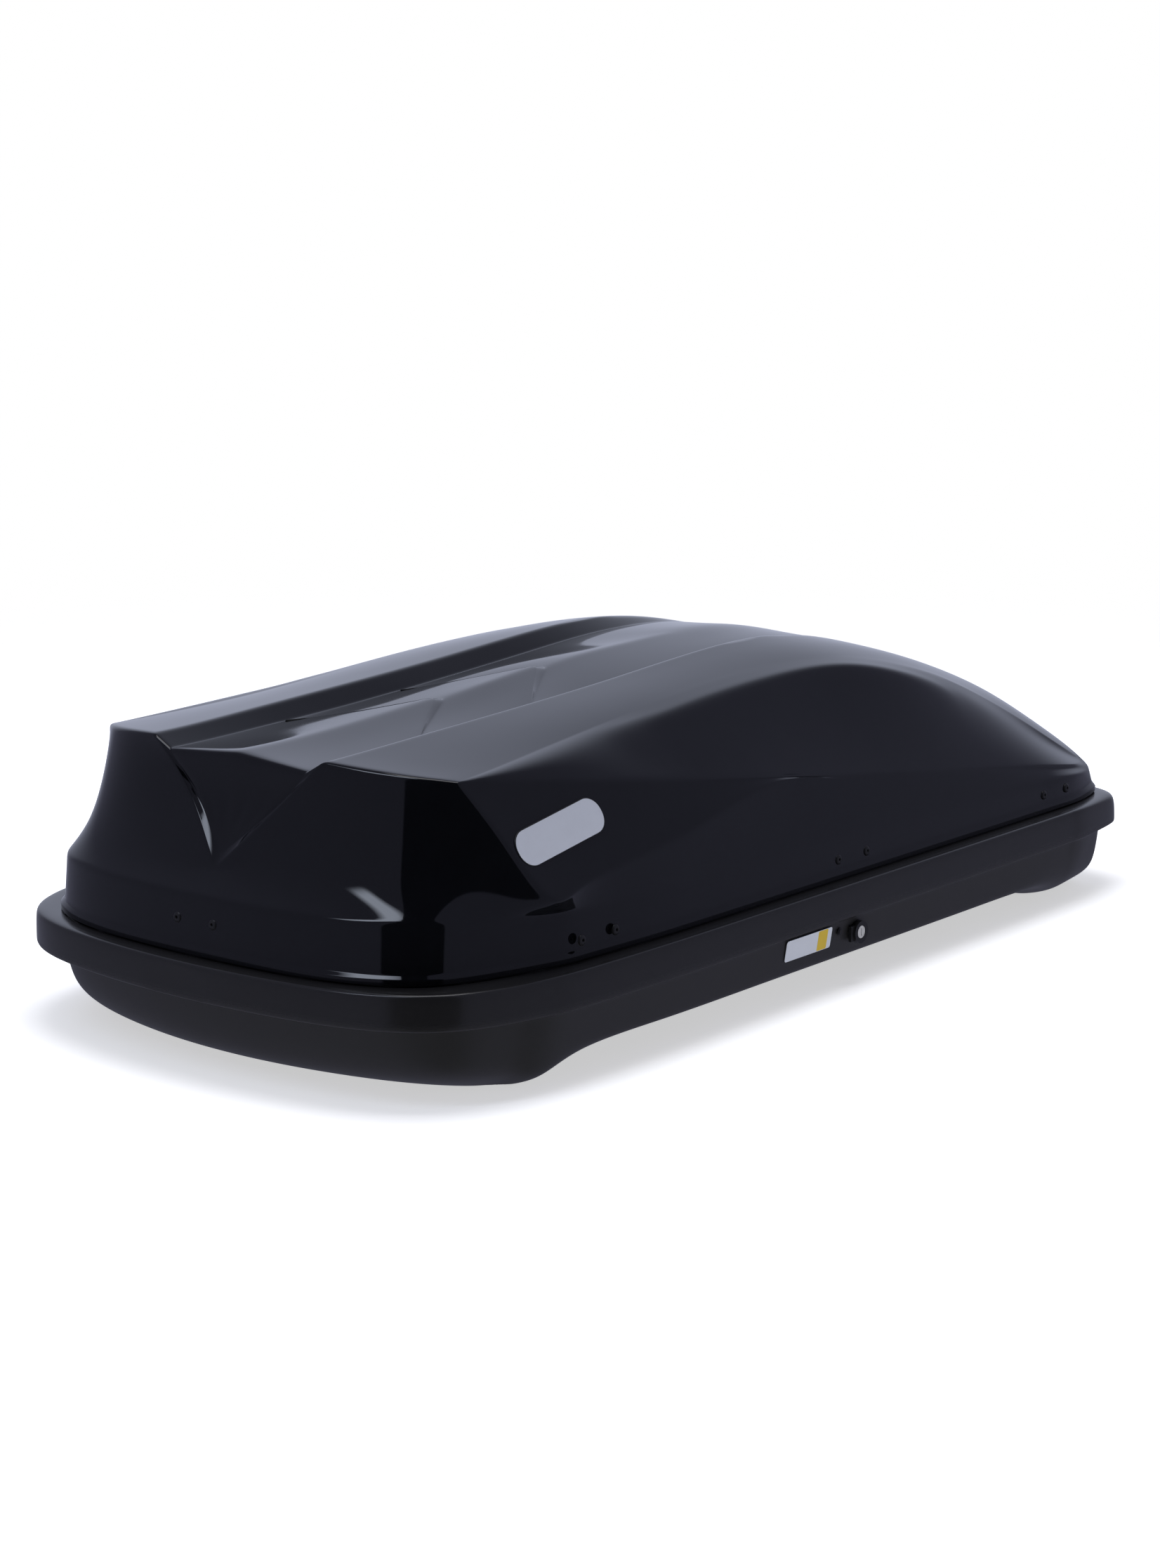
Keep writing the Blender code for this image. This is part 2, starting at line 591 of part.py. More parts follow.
def make_bar():
    """Sliding bar behind the side wall, driven by the cam, with a finger for each latch."""
    x_lock, z_lock = LOCK
    reach = LOCK_CRANK * sin(pi / 4)
    outer, inner = BAR_Y - 0.0015, BAR_Y + 0.0015
    low, high = BAR_Z - 0.006, BAR_Z + 0.006
    bar = box("locking_bar", (LATCH_STATIONS[0] - 0.034, outer, low),
              (LATCH_STATIONS[2] - 0.006, inner, high), "zinc", (0, BAR_Y, BAR_Z))
    slot_x = x_lock - reach
    union(bar, box("tab", (slot_x - 0.0075, outer, z_lock + 0.001),
                   (slot_x + 0.0075, inner, low + 0.002), "zinc"))
    cut(bar, box("slot", (slot_x - 0.0021, outer - 0.01, z_lock - 0.01),
                 (slot_x + 0.0021, inner + 0.01, z_lock + 0.0112), "zinc"))
    for station in LATCH_STATIONS:
        hook_y = latch_y(station)
        arm = box("arm", (station - 0.0305, inner - 0.001, BAR_Z - 0.004),
                  (station - 0.0240, hook_y + 0.0130, BAR_Z + 0.004), "zinc")
        finger = box("finger", (station - 0.0245, hook_y + 0.0035, BAR_Z - 0.004),
                     (station - 0.0115, hook_y + 0.0130, BAR_Z + 0.004), "zinc")
        union(bar, arm, finger)
    return bar


def latch_y(x):
    """The latch plate's outer face, just inside the tray's upstand."""
    return -(TRAY_PLAN.flank(x, (UPSTAND_INSET, UPSTAND_INSET))[1] - 0.0080)


def make_latches():
    """Plates riveted inside the lid's band: over the upstand, down, and a shelf for the bar's finger."""
    for number, x in enumerate(LATCH_STATIONS, 1):
        y = latch_y(x)
        tightest = min(LID_PLAN.flank(u, BAND_INSET)[1] for u in (x - LATCH_WING, x + LATCH_WING))
        band = -(tightest - LID_WALL - 0.0035)
        thick, top = 0.0020, 0.1470
        outline = [(band, top), (band + thick, top), (band + thick, 0.1335), (y + thick, 0.1335),
                   (y + thick, 0.0770), (y + 0.0130, 0.0770), (y + 0.0130, 0.0750), (y, 0.0750),
                   (y, 0.1315), (band, 0.1315)]
        plate = prism("latch_plate_%d" % number, outline, x - 0.0100, x + 0.0100, "x", "zinc",
                      (x, *HINGE_AXIS))
        wing = [(band, top), (band + thick, top), (band + thick, 0.1330), (band, 0.1330)]
        union(plate, prism("wing", wing, x - LATCH_WING, x + LATCH_WING, "x", "zinc"))


def make_guides():
    """Moulded blocks on the side wall that the bar slides through."""
    for number, x in enumerate((-0.220, 0.150, 0.360), 1):
        guide = box("bar_guide_%d" % number, (x - 0.006, -0.3285, 0.0700),
                    (x + 0.006, BAR_Y + 0.0055, 0.0960), "moulded_black")
        cut(guide, box("slot", (x - 0.02, BAR_Y - 0.0021, BAR_Z - 0.0066),
                       (x + 0.02, BAR_Y + 0.0021, BAR_Z + 0.0066), "moulded_black"))


def wall_y(z):
    """The straight side wall's outer face between the rim and the floor's rounded edge."""
    return -(TRAY_HALF[1] - 0.0040 - 0.0040 * (0.0750 - z) / 0.0290)


def make_wall_details():
    """Small rivet and blank label beside the lock."""
    centre = (LOCK[0] - 0.0345, LOCK[1] + 0.0065)
    y = wall_y(centre[1])
    head = rod("wall_rivet", centre, 0.0042, y - 0.0022, y - 0.0009, "y", "moulded_black", 16)
    union(head, rod("crown", centre, 0.0026, y - 0.0030, y - 0.0020, "y", "moulded_black", 16))
    smooth(head)
    low, high = 0.0505, 0.0740
    face = [(wall_y(low) - 0.0004, low), (wall_y(high) - 0.0004, high), (wall_y(high) - 0.0008, high),
            (wall_y(low) - 0.0008, low)]
    prism("blank_label", face, -0.1010, -0.0165, "x", "label_white")


def make_badge():
    """Blank capsule on the sunk facet of the lid's side."""
    rear = Vector((-0.490, *along(CREASE, -0.490)))
    nose = Vector((-0.320, *along(CREASE, -0.320)))
    foot = Vector((-0.400, *along(FOLD, -0.400)))
    for point in (rear, nose, foot):
        point.y = -point.y
    normal = (nose - rear).cross(foot - rear).normalized()
    if normal.y > 0:
        normal = -normal
    flat = (nose - rear).normalized()
    flat = (Matrix.Rotation(radians(BADGE_TILT), 3, normal) @ flat)
    rise = normal.cross(flat) * -1
    centre = Vector(BADGE_AT)
    centre -= normal * (centre - rear).dot(normal)
    half, radius = 0.045, 0.0195
    ring = []
    for side in (1, -1):
        for i in range(9):
            angle = -pi / 2 + pi * i / 8
            ring.append((side * (half + radius * cos(angle)), side * radius * sin(angle)))
    verts = [centre + flat * u + rise * v + normal * h for h in (0.0012, 0.0024) for u, v in ring]
    count = len(ring)
    faces = [tuple(range(count)), tuple(range(2 * count - 1, count - 1, -1))]
    faces += [(i, (i + 1) % count, (i + 1) % count + count, i + count) for i in range(count)]
    fix_normals(add_mesh("side_badge", verts, faces, "label_white", centre))


# ---------------------------------------------------------------- stays
def link(name, start, end, width, low, finish, origin, holes):
    """Flat bar with round ends between two (y, z) points, 3 mm thick from x = low."""
    along_bar = Vector(end) - Vector(start)
    turn = along_bar.angle_signed(Vector((1, 0)))
    ring = []
    for centre, first in ((end, turn - pi / 2), (start, turn + pi / 2)):
        ring += [(centre[0] + width * cos(first + pi * i / 8), centre[1] + width * sin(first + pi * i / 8))
                 for i in range(9)]
    bar = prism(name, ring, low, low + STAY_THICK, "x", finish, origin)
    for centre, radius in holes:
        cut(bar, rod("hole", centre, radius, low - 0.01, low + 0.02, "x", finish, 12))
    return smooth(bar)


def make_stay(name, x):
    """Folding stay. Its four pivots make a rhombus, so the lower arm turns with the lid."""
    y, z = HINGE_AXIS
    drop, run = STAY_ARM * sin(STAY_ANGLE), STAY_ARM * cos(STAY_ANGLE)
    base, top = (y - run, z - drop), (y - run, z + drop)
    elbow = (base[0] - run, base[1] + drop)
    layers = [x + i * (STAY_THICK + 0.0005) for i in range(4)]
    pin, hole = 0.0030, 0.0034

    lower = link(name + "lower_arm", base, elbow, 0.0085, layers[1], "zinc", (x, *base),
                 ((base, hole), (elbow, hole)))
    upper = link(name + "upper_arm", elbow, top, 0.0085, layers[2], "zinc", (x, *elbow),
                 ((elbow, hole), (top, hole + 0.0004)))

    floor = TRAY_WALL + GAP
    plate = [(base[0] - 0.020, floor), (base[0] + 0.020, floor), (base[0] + 0.009, base[1] + 0.008),
             (base[0] - 0.009, base[1] + 0.008)]
    base_bracket = prism(name + "base_bracket", plate, layers[0], layers[0] + STAY_THICK, "x", "zinc")
    union(base_bracket, box("foot", (x - 0.022, base[0] - 0.020, floor),
                            (x + 0.002, base[0] + 0.020, floor + 0.002), "zinc"))
    cut(base_bracket, rod("hole", base, hole, x - 0.01, x + 0.02, "x", "zinc", 12))

    low = layers[3]
    ceiling = [lid_ceiling(u, top[0]) - LID_WALL - 0.0018 for u in (low, low + 0.024)]
    plate = [(top[0] - 0.009, top[1] - 0.008), (top[0] + 0.009, top[1] - 0.008),
             (top[0] + 0.016, ceiling[0] - 0.003), (top[0] - 0.016, ceiling[0] - 0.003)]
    lid_bracket = prism(name + "lid_bracket", plate, low, low + STAY_THICK, "x", "zinc")
    foot = [(low, ceiling[0] - 0.006), (low + 0.024, ceiling[1] - 0.003), (low + 0.024, ceiling[1]),
            (low, ceiling[0])]
    union(lid_bracket, prism("foot", foot, top[0] - 0.016, top[0] + 0.005, "y", "zinc"))
    cut(lid_bracket, rod("hole", top, hole, low - 0.01, low + 0.02, "x", "zinc", 12))

    for first, (which, centre) in enumerate((("base_pin", base), ("elbow_pin", elbow), ("lid_pin", top))):
        ends = (layers[first] - 0.0025, layers[first + 1] + STAY_THICK + 0.0025)
        made = rod(name + which, centre, pin, *ends, "x", "nickel", 12, (x, *centre))
        for end, away in zip(ends, (-1, 1)):
            head = rod("head", centre, 0.0052, *sorted((end, end - away * 0.0020)), "x", "nickel", 12)
            union(made, head)
        smooth(made)


def lid_ceiling(x, y):
    """Height of the lid's skin over the channel at x and y."""
    spine, ridge = along(SPINE, x)[0], along(RIDGE, x)[0]
    floor = spine * 0.19 + ridge * 0.81 - along(CHANNEL_DEPTH, x)[0]
    return spine + (floor - spine) * y / FLOOR_Y


# ---------------------------------------------------------------- crossbar clamps
def make_clamp(name, x, y):
    """U-bolt through the floor slot, held by a plate and two knobs inside the box."""
    floor = MID_FLOOR + TRAY_WALL + GAP
    plate_top = floor + 0.003
    legs = (x - LEG_PITCH / 2, x + LEG_PITCH / 2)
    plate = box(name + "plate", (x - 0.060, y - 0.016, floor), (x + 0.060, y + 0.016, plate_top),
                "zinc", (x, y, floor))
    cut(plate, *[rod("hole", (leg, y), BOLT_R + 0.0007, 0, 0.2, "z", "zinc", 12) for leg in legs])

    bend, bow, top = 0.010, 0.0118, 0.0780
    path = [(legs[0], top)]
    for i in range(4):
        angle = pi + pi / 2 * i / 3
        path.append((legs[0] + bend + bend * cos(angle), bow + bend + bend * sin(angle)))
    path += [(2 * x - u, v) for u, v in path[::-1]]
    sweep_bolt(name + "u_bolt", path, y, x)

    for number, leg in enumerate(legs, 1):
        ring = []
        for i in range(24):
            angle = 2 * pi * i / 24
            radius = 0.0125 + 0.0022 * cos(6 * angle)
            ring.append((leg + radius * cos(angle), y + radius * sin(angle)))
        low, high = plate_top + GAP, plate_top + 0.0170
        knob = prism(name + "knob_%d" % number, ring, low + 0.004, high, "z", "moulded_black", (leg, y, low))
        union(knob, rod("collar", (leg, y), 0.0090, low, low + 0.005, "z", "moulded_black", 20))
        cut(knob, rod("bore", (leg, y), BOLT_R + 0.0007, 0, 0.2, "z", "moulded_black", 12))
        smooth(knob, 40)


def sweep_bolt(name, path, y, x):
    """Round bar of the bolt's size along a flat path of (x, z) points at one y."""
    sides = 8
    verts = []
    for i, (u, v) in enumerate(path):
        before, after = path[max(i - 1, 0)], path[min(i + 1, len(path) - 1)]
        way = Vector((after[0] - before[0], after[1] - before[1])).normalized()
        for k in range(sides):
            angle = 2 * pi * k / sides
            out = BOLT_R * cos(angle)
            verts.append((u - way.y * out, y + BOLT_R * sin(angle), v + way.x * out))
    faces = [tuple(range(sides)), tuple(len(verts) - 1 - k for k in range(sides))]
    for i in range(len(path) - 1):
        for k in range(sides):
            a, b = i * sides + k, i * sides + (k + 1) % sides
            faces.append((a, b, b + sides, a + sides))
    bolt = add_mesh(name, verts, faces, "zinc", (x, y, path[0][1]))
    fix_normals(bolt)
    smooth(bolt)


# ---------------------------------------------------------------- assembly
def clear_scene():
    for obj in list(bpy.data.objects):
        bpy.data.objects.remove(obj)


def main():
    clear_scene()
    make_tray()
    make_rails()
    make_seal()
    make_lid()
    make_badge()
    for number, x in enumerate(HINGE_STATIONS, 1):
        make_hinge(number, x)
    make_lock()
    make_bar()
    make_guides()
    make_latches()
    make_wall_details()
    for end, x in zip(("rear", "front"), STAY_STATIONS):
        make_stay("stay_%s_" % end, x)
    for end, sx in (("rear", -1), ("front", 1)):
        for side, sy in (("left", 1), ("right", -1)):
            make_clamp("clamp_%s_%s_" % (end, side), sx * CLAMP_X, sy * CLAMP_Y)


main()
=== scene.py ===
"""Looks of the roof cargo box: smooth gloss lid, grained tray, hardware finishes, studio and camera.

Metres, +Z up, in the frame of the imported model: +X is the nose, +Y the hinge side, -Y the lock side.
"""

from math import cos, pi, radians, sin

import bmesh
import bpy
from mathutils import Matrix, Vector


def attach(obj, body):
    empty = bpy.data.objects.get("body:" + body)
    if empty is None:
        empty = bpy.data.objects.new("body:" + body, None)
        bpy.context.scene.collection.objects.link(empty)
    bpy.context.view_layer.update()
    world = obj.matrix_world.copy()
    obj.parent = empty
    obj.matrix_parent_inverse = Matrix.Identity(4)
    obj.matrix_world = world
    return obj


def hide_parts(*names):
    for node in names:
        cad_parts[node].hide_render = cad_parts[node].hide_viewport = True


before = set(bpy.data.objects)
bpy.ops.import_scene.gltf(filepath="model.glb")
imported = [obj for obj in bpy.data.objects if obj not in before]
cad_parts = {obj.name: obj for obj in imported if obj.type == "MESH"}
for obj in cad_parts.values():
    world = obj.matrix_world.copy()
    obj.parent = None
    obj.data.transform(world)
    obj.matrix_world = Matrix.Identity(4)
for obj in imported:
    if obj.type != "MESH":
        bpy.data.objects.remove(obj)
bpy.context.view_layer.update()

# ---------------------------------------------------------------- dimensions, as in the CAD model
TRAY_HALF = (0.665, 0.3375)
TRAY_REAR = (0.0572, 7.1)      # how far the end bows in at the corners, squareness of the corners
TRAY_NOSE = (0.0064, 12.8)
RIM_TOP = 0.1150
RIM_FOOT = 0.0770
MID_FLOOR = 0.0313
TRAY_WALL = 0.0040
UPSTAND_INSET, UPSTAND_TOP = 0.0360, 0.1265

LID_HALF = (0.644, 0.3175)
LID_REAR = (0.0363, 5.66)
LID_NOSE = (0.0060, 13.6)
LID_FOOT = 0.1168
LID_WALL = 0.0035

LOCK = (0.0335, 0.0585)        # x and z on the lock side's wall
CLAMP_X, CLAMP_Y = 0.250, 0.235

# ---------------------------------------------------------------- shape of the smooth skins
EXTENT = (0.6645, 0.3390, 0.3493)              # the outer skins keep within this
NEAR = 1e-6                                    # closer than this counts as the same place
LOBE_EDGES = (-0.478, -0.432, 0.450, 0.496)    # where each lobe's slope starts and ends
LOBE_BOW = 0.040               # the nose lobe's edge lies this much further back in the middle
RIM_ROUND, END_LEDGE, SIDE_LEDGE = 0.0075, 0.026, 0.004    # insets of the rim's top edge and its foot
RIM_DROP, FOOT_STEP = 0.008, 0.002     # the rim is widest from so far below its top to its foot

# Holes in the tray: the lock's bore through the wall, and the slots of the clamps.
LOCK_WALL_Y, LOCK_BORE, BORE_LENGTH = -0.33, 0.010, 0.06
SLOT_HALF, SLOT_CUT = (0.0950, 0.0050), 0.04

# The top's ends: x in the middle, then (x, y) where the shoulders meet them.
TOP_REAR, TOP_NOSE = -0.575, 0.622
CORNER_REAR, CORNER_NOSE = (-0.520, 0.243), (0.605, 0.280)

# Lid rails from the rear to the nose on the +Y half: (x, y, z).
SHOULDER = ((-0.520, 0.243, 0.301), (-0.400, 0.225, 0.307), (-0.280, 0.213, 0.3155),
            (-0.160, 0.206, 0.325), (-0.040, 0.203, 0.3325), (0.080, 0.205, 0.3345),
            (0.160, 0.211, 0.3305), (0.248, 0.220, 0.3157), (0.375, 0.225, 0.280),
            (0.506, 0.238, 0.2217), (0.605, 0.280, 0.1550))
BEVEL = ((-0.520, 0.243, 0.301), (-0.400, 0.246, 0.3035), (-0.274, 0.237, 0.309),
         (-0.069, 0.228, 0.3226), (0.109, 0.228, 0.3244), (0.193, 0.235, 0.3154),
         (0.279, 0.243, 0.294), (0.407, 0.252, 0.2437), (0.539, 0.268, 0.183), (0.6055, 0.2815, 0.1532))
CREASE = ((-0.520, 0.243, 0.301), (-0.365, 0.270, 0.2817), (-0.212, 0.288, 0.262),
          (-0.087, 0.300, 0.2466), (0.045, 0.303, 0.229), (0.323, 0.303, 0.193),
          (0.553, 0.297, 0.160), (0.606, 0.2835, 0.1512))
FOLD = ((-0.466, 0.310, 0.186), (-0.220, 0.311, 0.2195), (-0.090, 0.3055, 0.239),
        (0.045, 0.3055, 0.222), (0.323, 0.3055, 0.186), (0.553, 0.300, 0.153), (0.612, 0.290, 0.146))
# The top's middle: (x, z) of the ridges and the spine, then (x, depth) of the channel's floor.
RIDGE = ((-0.5745, 0.313), (-0.188, 0.3326), (0.0, 0.3455), (0.092, 0.3497), (0.157, 0.348),
         (0.225, 0.3406), (0.283, 0.330), (0.343, 0.314), (0.405, 0.296), (0.534, 0.249), (0.622, 0.2035))
SPINE = ((-0.575, 0.309), (-0.346, 0.3192), (-0.127, 0.335), (0.0, 0.340), (0.140, 0.3435),
         (0.247, 0.340), (0.350, 0.3165), (0.450, 0.283), (0.534, 0.252), (0.622, 0.207))
CHANNEL_DEPTH = ((-0.575, 0.011), (-0.300, 0.015), (0.0, 0.014), (0.150, 0.009), (0.250, 0.003),
                 (0.330, 0.0))
# How far the top bulges between the ridge and the shoulder: (x, rise). The band's top: (x, z).
CROWN = ((-0.575, 0.001), (0.100, 0.002), (0.335, 0.006), (0.610, 0.015))
BAND_TOP = ((-0.47, 0.1680), (-0.30, 0.1630), (0.10, 0.1630), (0.553, 0.1470), (0.612, 0.1410))

RIDGE_Y, FLOOR_Y = 0.118, 0.0956
FLOOR_SHARE = 0.81                       # the floor's edge is this part of the way out to the ridge
SPREAD = (0.40, 0.70, 0.88)              # columns between the ridge and the shoulder
# Parts of the length, and of the half width at the ends, where the cage has its rows.
LID_STEPS = (0.0, 0.05, 0.133, 0.208, 0.283, 0.37, 0.46, 0.55, 0.63, 0.71, 0.79, 0.87, 0.94, 1.0)
REAR_PARTS = (0.0, 0.45, 0.72, 0.87, 0.955)
NOSE_PARTS = (0.0, 0.20, 0.38, 0.60, 0.80, 0.915, 0.955)
# The V on the rear wall: outer and inner line halfway down (x, y, z), then their tips.
V_OUT, V_IN = (-0.5822, 0.0628, 0.262), (-0.5781, 0.0567, 0.261)
TIP_OUT, TIP_IN = (-0.6098, 0.0, 0.1989), (-0.5995, 0.0, 0.2140)
# Rows down the rear wall and the nose: parts of the drop, and how far each is pulled in there.
WALL_DROPS, WALL_PULLS = (0.42, 0.775), (0.0125, 0.0150)
NOSE_DROPS, NOSE_PULLS = (0.35, 0.72), (-0.0055, -0.0048)
CORNER_EASE = 0.55                       # part of the pull that is lost towards the corner
# The band's top at the ends: height in the middle, fall towards the corner, and how late it falls.
REAR_BAND, NOSE_BAND = (0.175, 0.006, 6), (0.150, 0.009, 4)
BAND_X = (-0.455, 0.606)                 # the band's side rows lie between these
BAND_INSET, FLARE_INSET, NO_INSET = (0.0080, 0.0050), (0.0035, 0.0035), (0.0, 0.0)
LIP_ROWS = ((FLARE_INSET, 0.1285), (NO_INSET, 0.1225), (NO_INSET, LID_FOOT))

# Chevron steps on the channel's floor: how far each row's spine point runs ahead of its edge point.
CHEVRON_LEAD = ((-0.575, 0.0), (-0.515, 0.060), (-0.416, 0.1275), (-0.236, 0.118), (0.0, 0.075),
                (0.180, 0.030), (0.330, 0.0))
CHEVRON_ROWS = (2, 4)
CHEVRON_DROP, CHEVRON_RUN = 0.0040, 0.0200
STRIP = (0.0, 0.45, 0.86, 1.0)           # columns from the spine to the channel's edge

TRAY_STEPS = (*LOBE_EDGES[:2], -0.300, -0.150, 0.0, 0.150, 0.290, *LOBE_EDGES[2:], 0.530)
TRAY_REAR_PARTS = (0.0, 0.30, 0.60, 0.80, 0.90, 0.95)
TRAY_NOSE_PARTS = (0.0, 0.30, 0.60, 0.85, 0.935, 0.97)
TRAY_COLUMNS = (0.0, 0.32, 0.64, 0.82, 0.93)

# Lower rows of the tray: insets and height at the ends, inset and height along the sides.
REAR_END = ((0.033, 0.031, 0.042), (0.047, 0.044, 0.017), (0.084, 0.070, 0.0))
NOSE_END = ((0.028, 0.029, 0.036), (0.037, 0.038, 0.0135), (0.082, 0.070, 0.0))
MID_SIDE = ((0.0080, 0.046), (0.0110, 0.0350), (0.0190, MID_FLOOR))
REAR_SIDE = ((0.0070, 0.037), (0.0145, 0.0105), (0.0380, 0.0))
NOSE_SIDE = ((0.0100, 0.043), (0.0240, 0.0160), (0.0660, 0.0))
# Near a corner, by this part of the half width, an end's lower rows lose a share of their inset
# along x and take up a share of the side's inset.
TURN_PART, END_LOSS, SIDE_GAIN = 0.96, 0.65, 0.5

# Smooth skins: subdivision levels while fitting and in the end, and rounds and pace of the fit.
FIT_LEVELS, LEVELS, FIT_ROUNDS, FIT_PACE = 3, 4, 4, 0.9
# How far the fit may take a cage point from its place: past an x, below a height, and elsewhere.
NOSE_TIP_X, NOSE_DRIFT, LOW_ROWS_Z, FLOOR_DRIFT, FREE_DRIFT = 0.585, 0.0035, 0.05, 0.006, 1.0

# ---------------------------------------------------------------- badge, label and rivets
BADGE_AT, BADGE_TILT, BADGE_HALF, BADGE_RIM = (-0.419, -0.284, 0.241), 19.0, (0.0645, 0.0195), 0.0012
BADGE_FACET = ((-0.490, CREASE), (-0.320, CREASE), (-0.400, FOLD))    # three points of its facet
BADGE_FOOT, BADGE_TOP, BADGE_FACE = 0.0004, 0.0020, 0.0024            # heights above the facet
# Middles of the label's lower and upper edges.
LABEL_FOOT, LABEL_HEAD = (-0.05875, -0.33095, 0.0505), (-0.05875, -0.33465, 0.0740)
LABEL_HALF, LABEL_TOP, PATCH_TOP = 0.04225, 0.0005, 0.0006
PATCH_AT, PATCH_HALF = 0.0255, 0.0088    # the label's yellow area: its middle and half its length

# Rivets: x along the lock side and y across the rear, the rest of each place, the wall's direction.
SIDE_RIVETS = (-0.420, -0.367, 0.024, 0.079, 0.461, 0.514)
SIDE_RIVET_AT, SIDE_RIVET_WAY = (-0.3133, 0.1375), (0, -1, 0.09)
REAR_RIVETS = (0.0240, -0.0255)
REAR_RIVET_AT, REAR_RIVET_WAY = (-0.6378, 0.150), (-1, 0, 0.10)
EDGE_BEVEL = 0.00035                     # on the edges of the plated and nylon parts
# Rivet head from its rim to the centre hole: (radius, height above the wall).
RIVET = ((0.0056, -0.0004), (0.0056, 0.0004), (0.0050, 0.0013), (0.0036, 0.0020), (0.0021, 0.0022),
         (0.0016, 0.0019), (0.0015, -0.0002), (0.0, -0.0002))


# ---------------------------------------------------------------- shader helpers
def node(tree, kind, settings=None, **inputs):
    """A shader node. Inputs are values or sockets, named with _ for spaces or numbered as i0, i1."""
    made = tree.nodes.new(kind)
    for key, value in (settings or {}).items():
        setattr(made, key, value)
    for key, value in inputs.items():
        numbered = key[0] == "i" and key[1:].isdigit()
        socket = made.inputs[int(key[1:]) if numbered else key.replace("_", " ")]
        if isinstance(value, bpy.types.NodeSocket):
            tree.links.new(value, socket)
        else:
            socket.default_value = value
    return made


def new_material(name, colour, roughness, **constants):
    """A Principled material with constants on its own sockets."""
    made = bpy.data.materials.new(name)
    made.use_nodes = True
    tree = made.node_tree
    shader = tree.nodes["Principled BSDF"]
    shader.inputs["Base Color"].default_value = (*colour, 1.0)
    shader.inputs["Roughness"].default_value = roughness
    for key, value in constants.items():
        shader.inputs[key.replace("_", " ")].default_value = value
    place = node(tree, "ShaderNodeTexCoord").outputs["Object"]
    return made, tree, shader, place


def noise(tree, place, scale, detail=2.0, roughness=0.5):
    return node(tree, "ShaderNodeTexNoise", Vector=place, Scale=scale, Detail=detail,
                Roughness=roughness).outputs["Fac"]


def spread(tree, value, low, high, start=0.3, end=0.7):
    """Map a 0 to 1 texture onto low to high, linearly between start and end."""
    return node(tree, "ShaderNodeMapRange", Value=value, From_Min=start, From_Max=end, To_Min=low,
                To_Max=high).outputs["Result"]


def tint(tree, factor, dark, light):
    """From one colour at factor 0 to another at 1. A colour is a socket or (r, g, b)."""
    dark, light = (c if isinstance(c, bpy.types.NodeSocket) else (*c, 1.0) for c in (dark, light))
    return node(tree, "ShaderNodeMix", {"data_type": "RGBA"}, i0=factor, i6=dark, i7=light).outputs[2]


def calc(tree, operation, *values):
    """A Math node. Values are numbers or sockets."""
    settings = {"operation": operation}
    return node(tree, "ShaderNodeMath", settings, **{f"i{k}": v for k, v in enumerate(values)}).outputs[0]


def bumps(tree, shader, *layers):
    """Stack bump layers of (height socket, depth in metres, strength)."""
    normal = None
    for height, depth, strength in layers:
        bump = node(tree, "ShaderNodeBump", Height=height, Distance=depth, Strength=strength)
        if normal:
            tree.links.new(normal, bump.inputs["Normal"])
        normal = bump.outputs["Normal"]
    tree.links.new(normal, shader.inputs["Normal"])


# ---------------------------------------------------------------- materials
def gloss_lid():
    """Thermoformed gloss ABS: deep black, slight waviness of the sheet, faint polishing haze."""
    made, tree, shader, place = new_material("lid_gloss", (0.0035, 0.0038, 0.0050), 0.06)
    haze = noise(tree, place, 34.0, 4.0, 0.6)
    tree.links.new(tint(tree, haze, (0.0028, 0.0030, 0.0042), (0.0046, 0.0050, 0.0064)),
                   shader.inputs["Base Color"])
    fine = noise(tree, place, 420.0, 3.0, 0.6)
    blend = calc(tree, "MULTIPLY", haze, fine)
    tree.links.new(spread(tree, blend, 0.035, 0.070, 0.15, 0.40), shader.inputs["Roughness"])
    bumps(tree, shader, (noise(tree, place, 9.0, 1.0), 0.0014, 0.16),
          (noise(tree, place, 38.0, 1.0), 0.00022, 0.07))
    return made


def grained(name, colour, roughness, grain=950.0, depth=0.00022):
    """Textured ABS as it comes from a grained mould, with soft cloudy wear in its sheen."""
    made, tree, shader, place = new_material(name, colour, roughness)
    cloud = noise(tree, place, 9.0, 4.0, 0.6)
    lighter = tuple(c * 1.45 for c in colour)
    tree.links.new(tint(tree, cloud, colour, lighter), shader.inputs["Base Color"])
    tree.links.new(spread(tree, cloud, roughness - 0.05, roughness + 0.06), shader.inputs["Roughness"])
    pebble = node(tree, "ShaderNodeTexVoronoi", {"feature": "SMOOTH_F1"}, Vector=place, Scale=grain * 0.62)
    bumps(tree, shader, (noise(tree, place, 14.0, 1.0), 0.0012, 0.16),
          (noise(tree, place, grain, 3.0, 0.65), depth, 0.35),
          (pebble.outputs["Distance"], depth, 0.20))
    return made


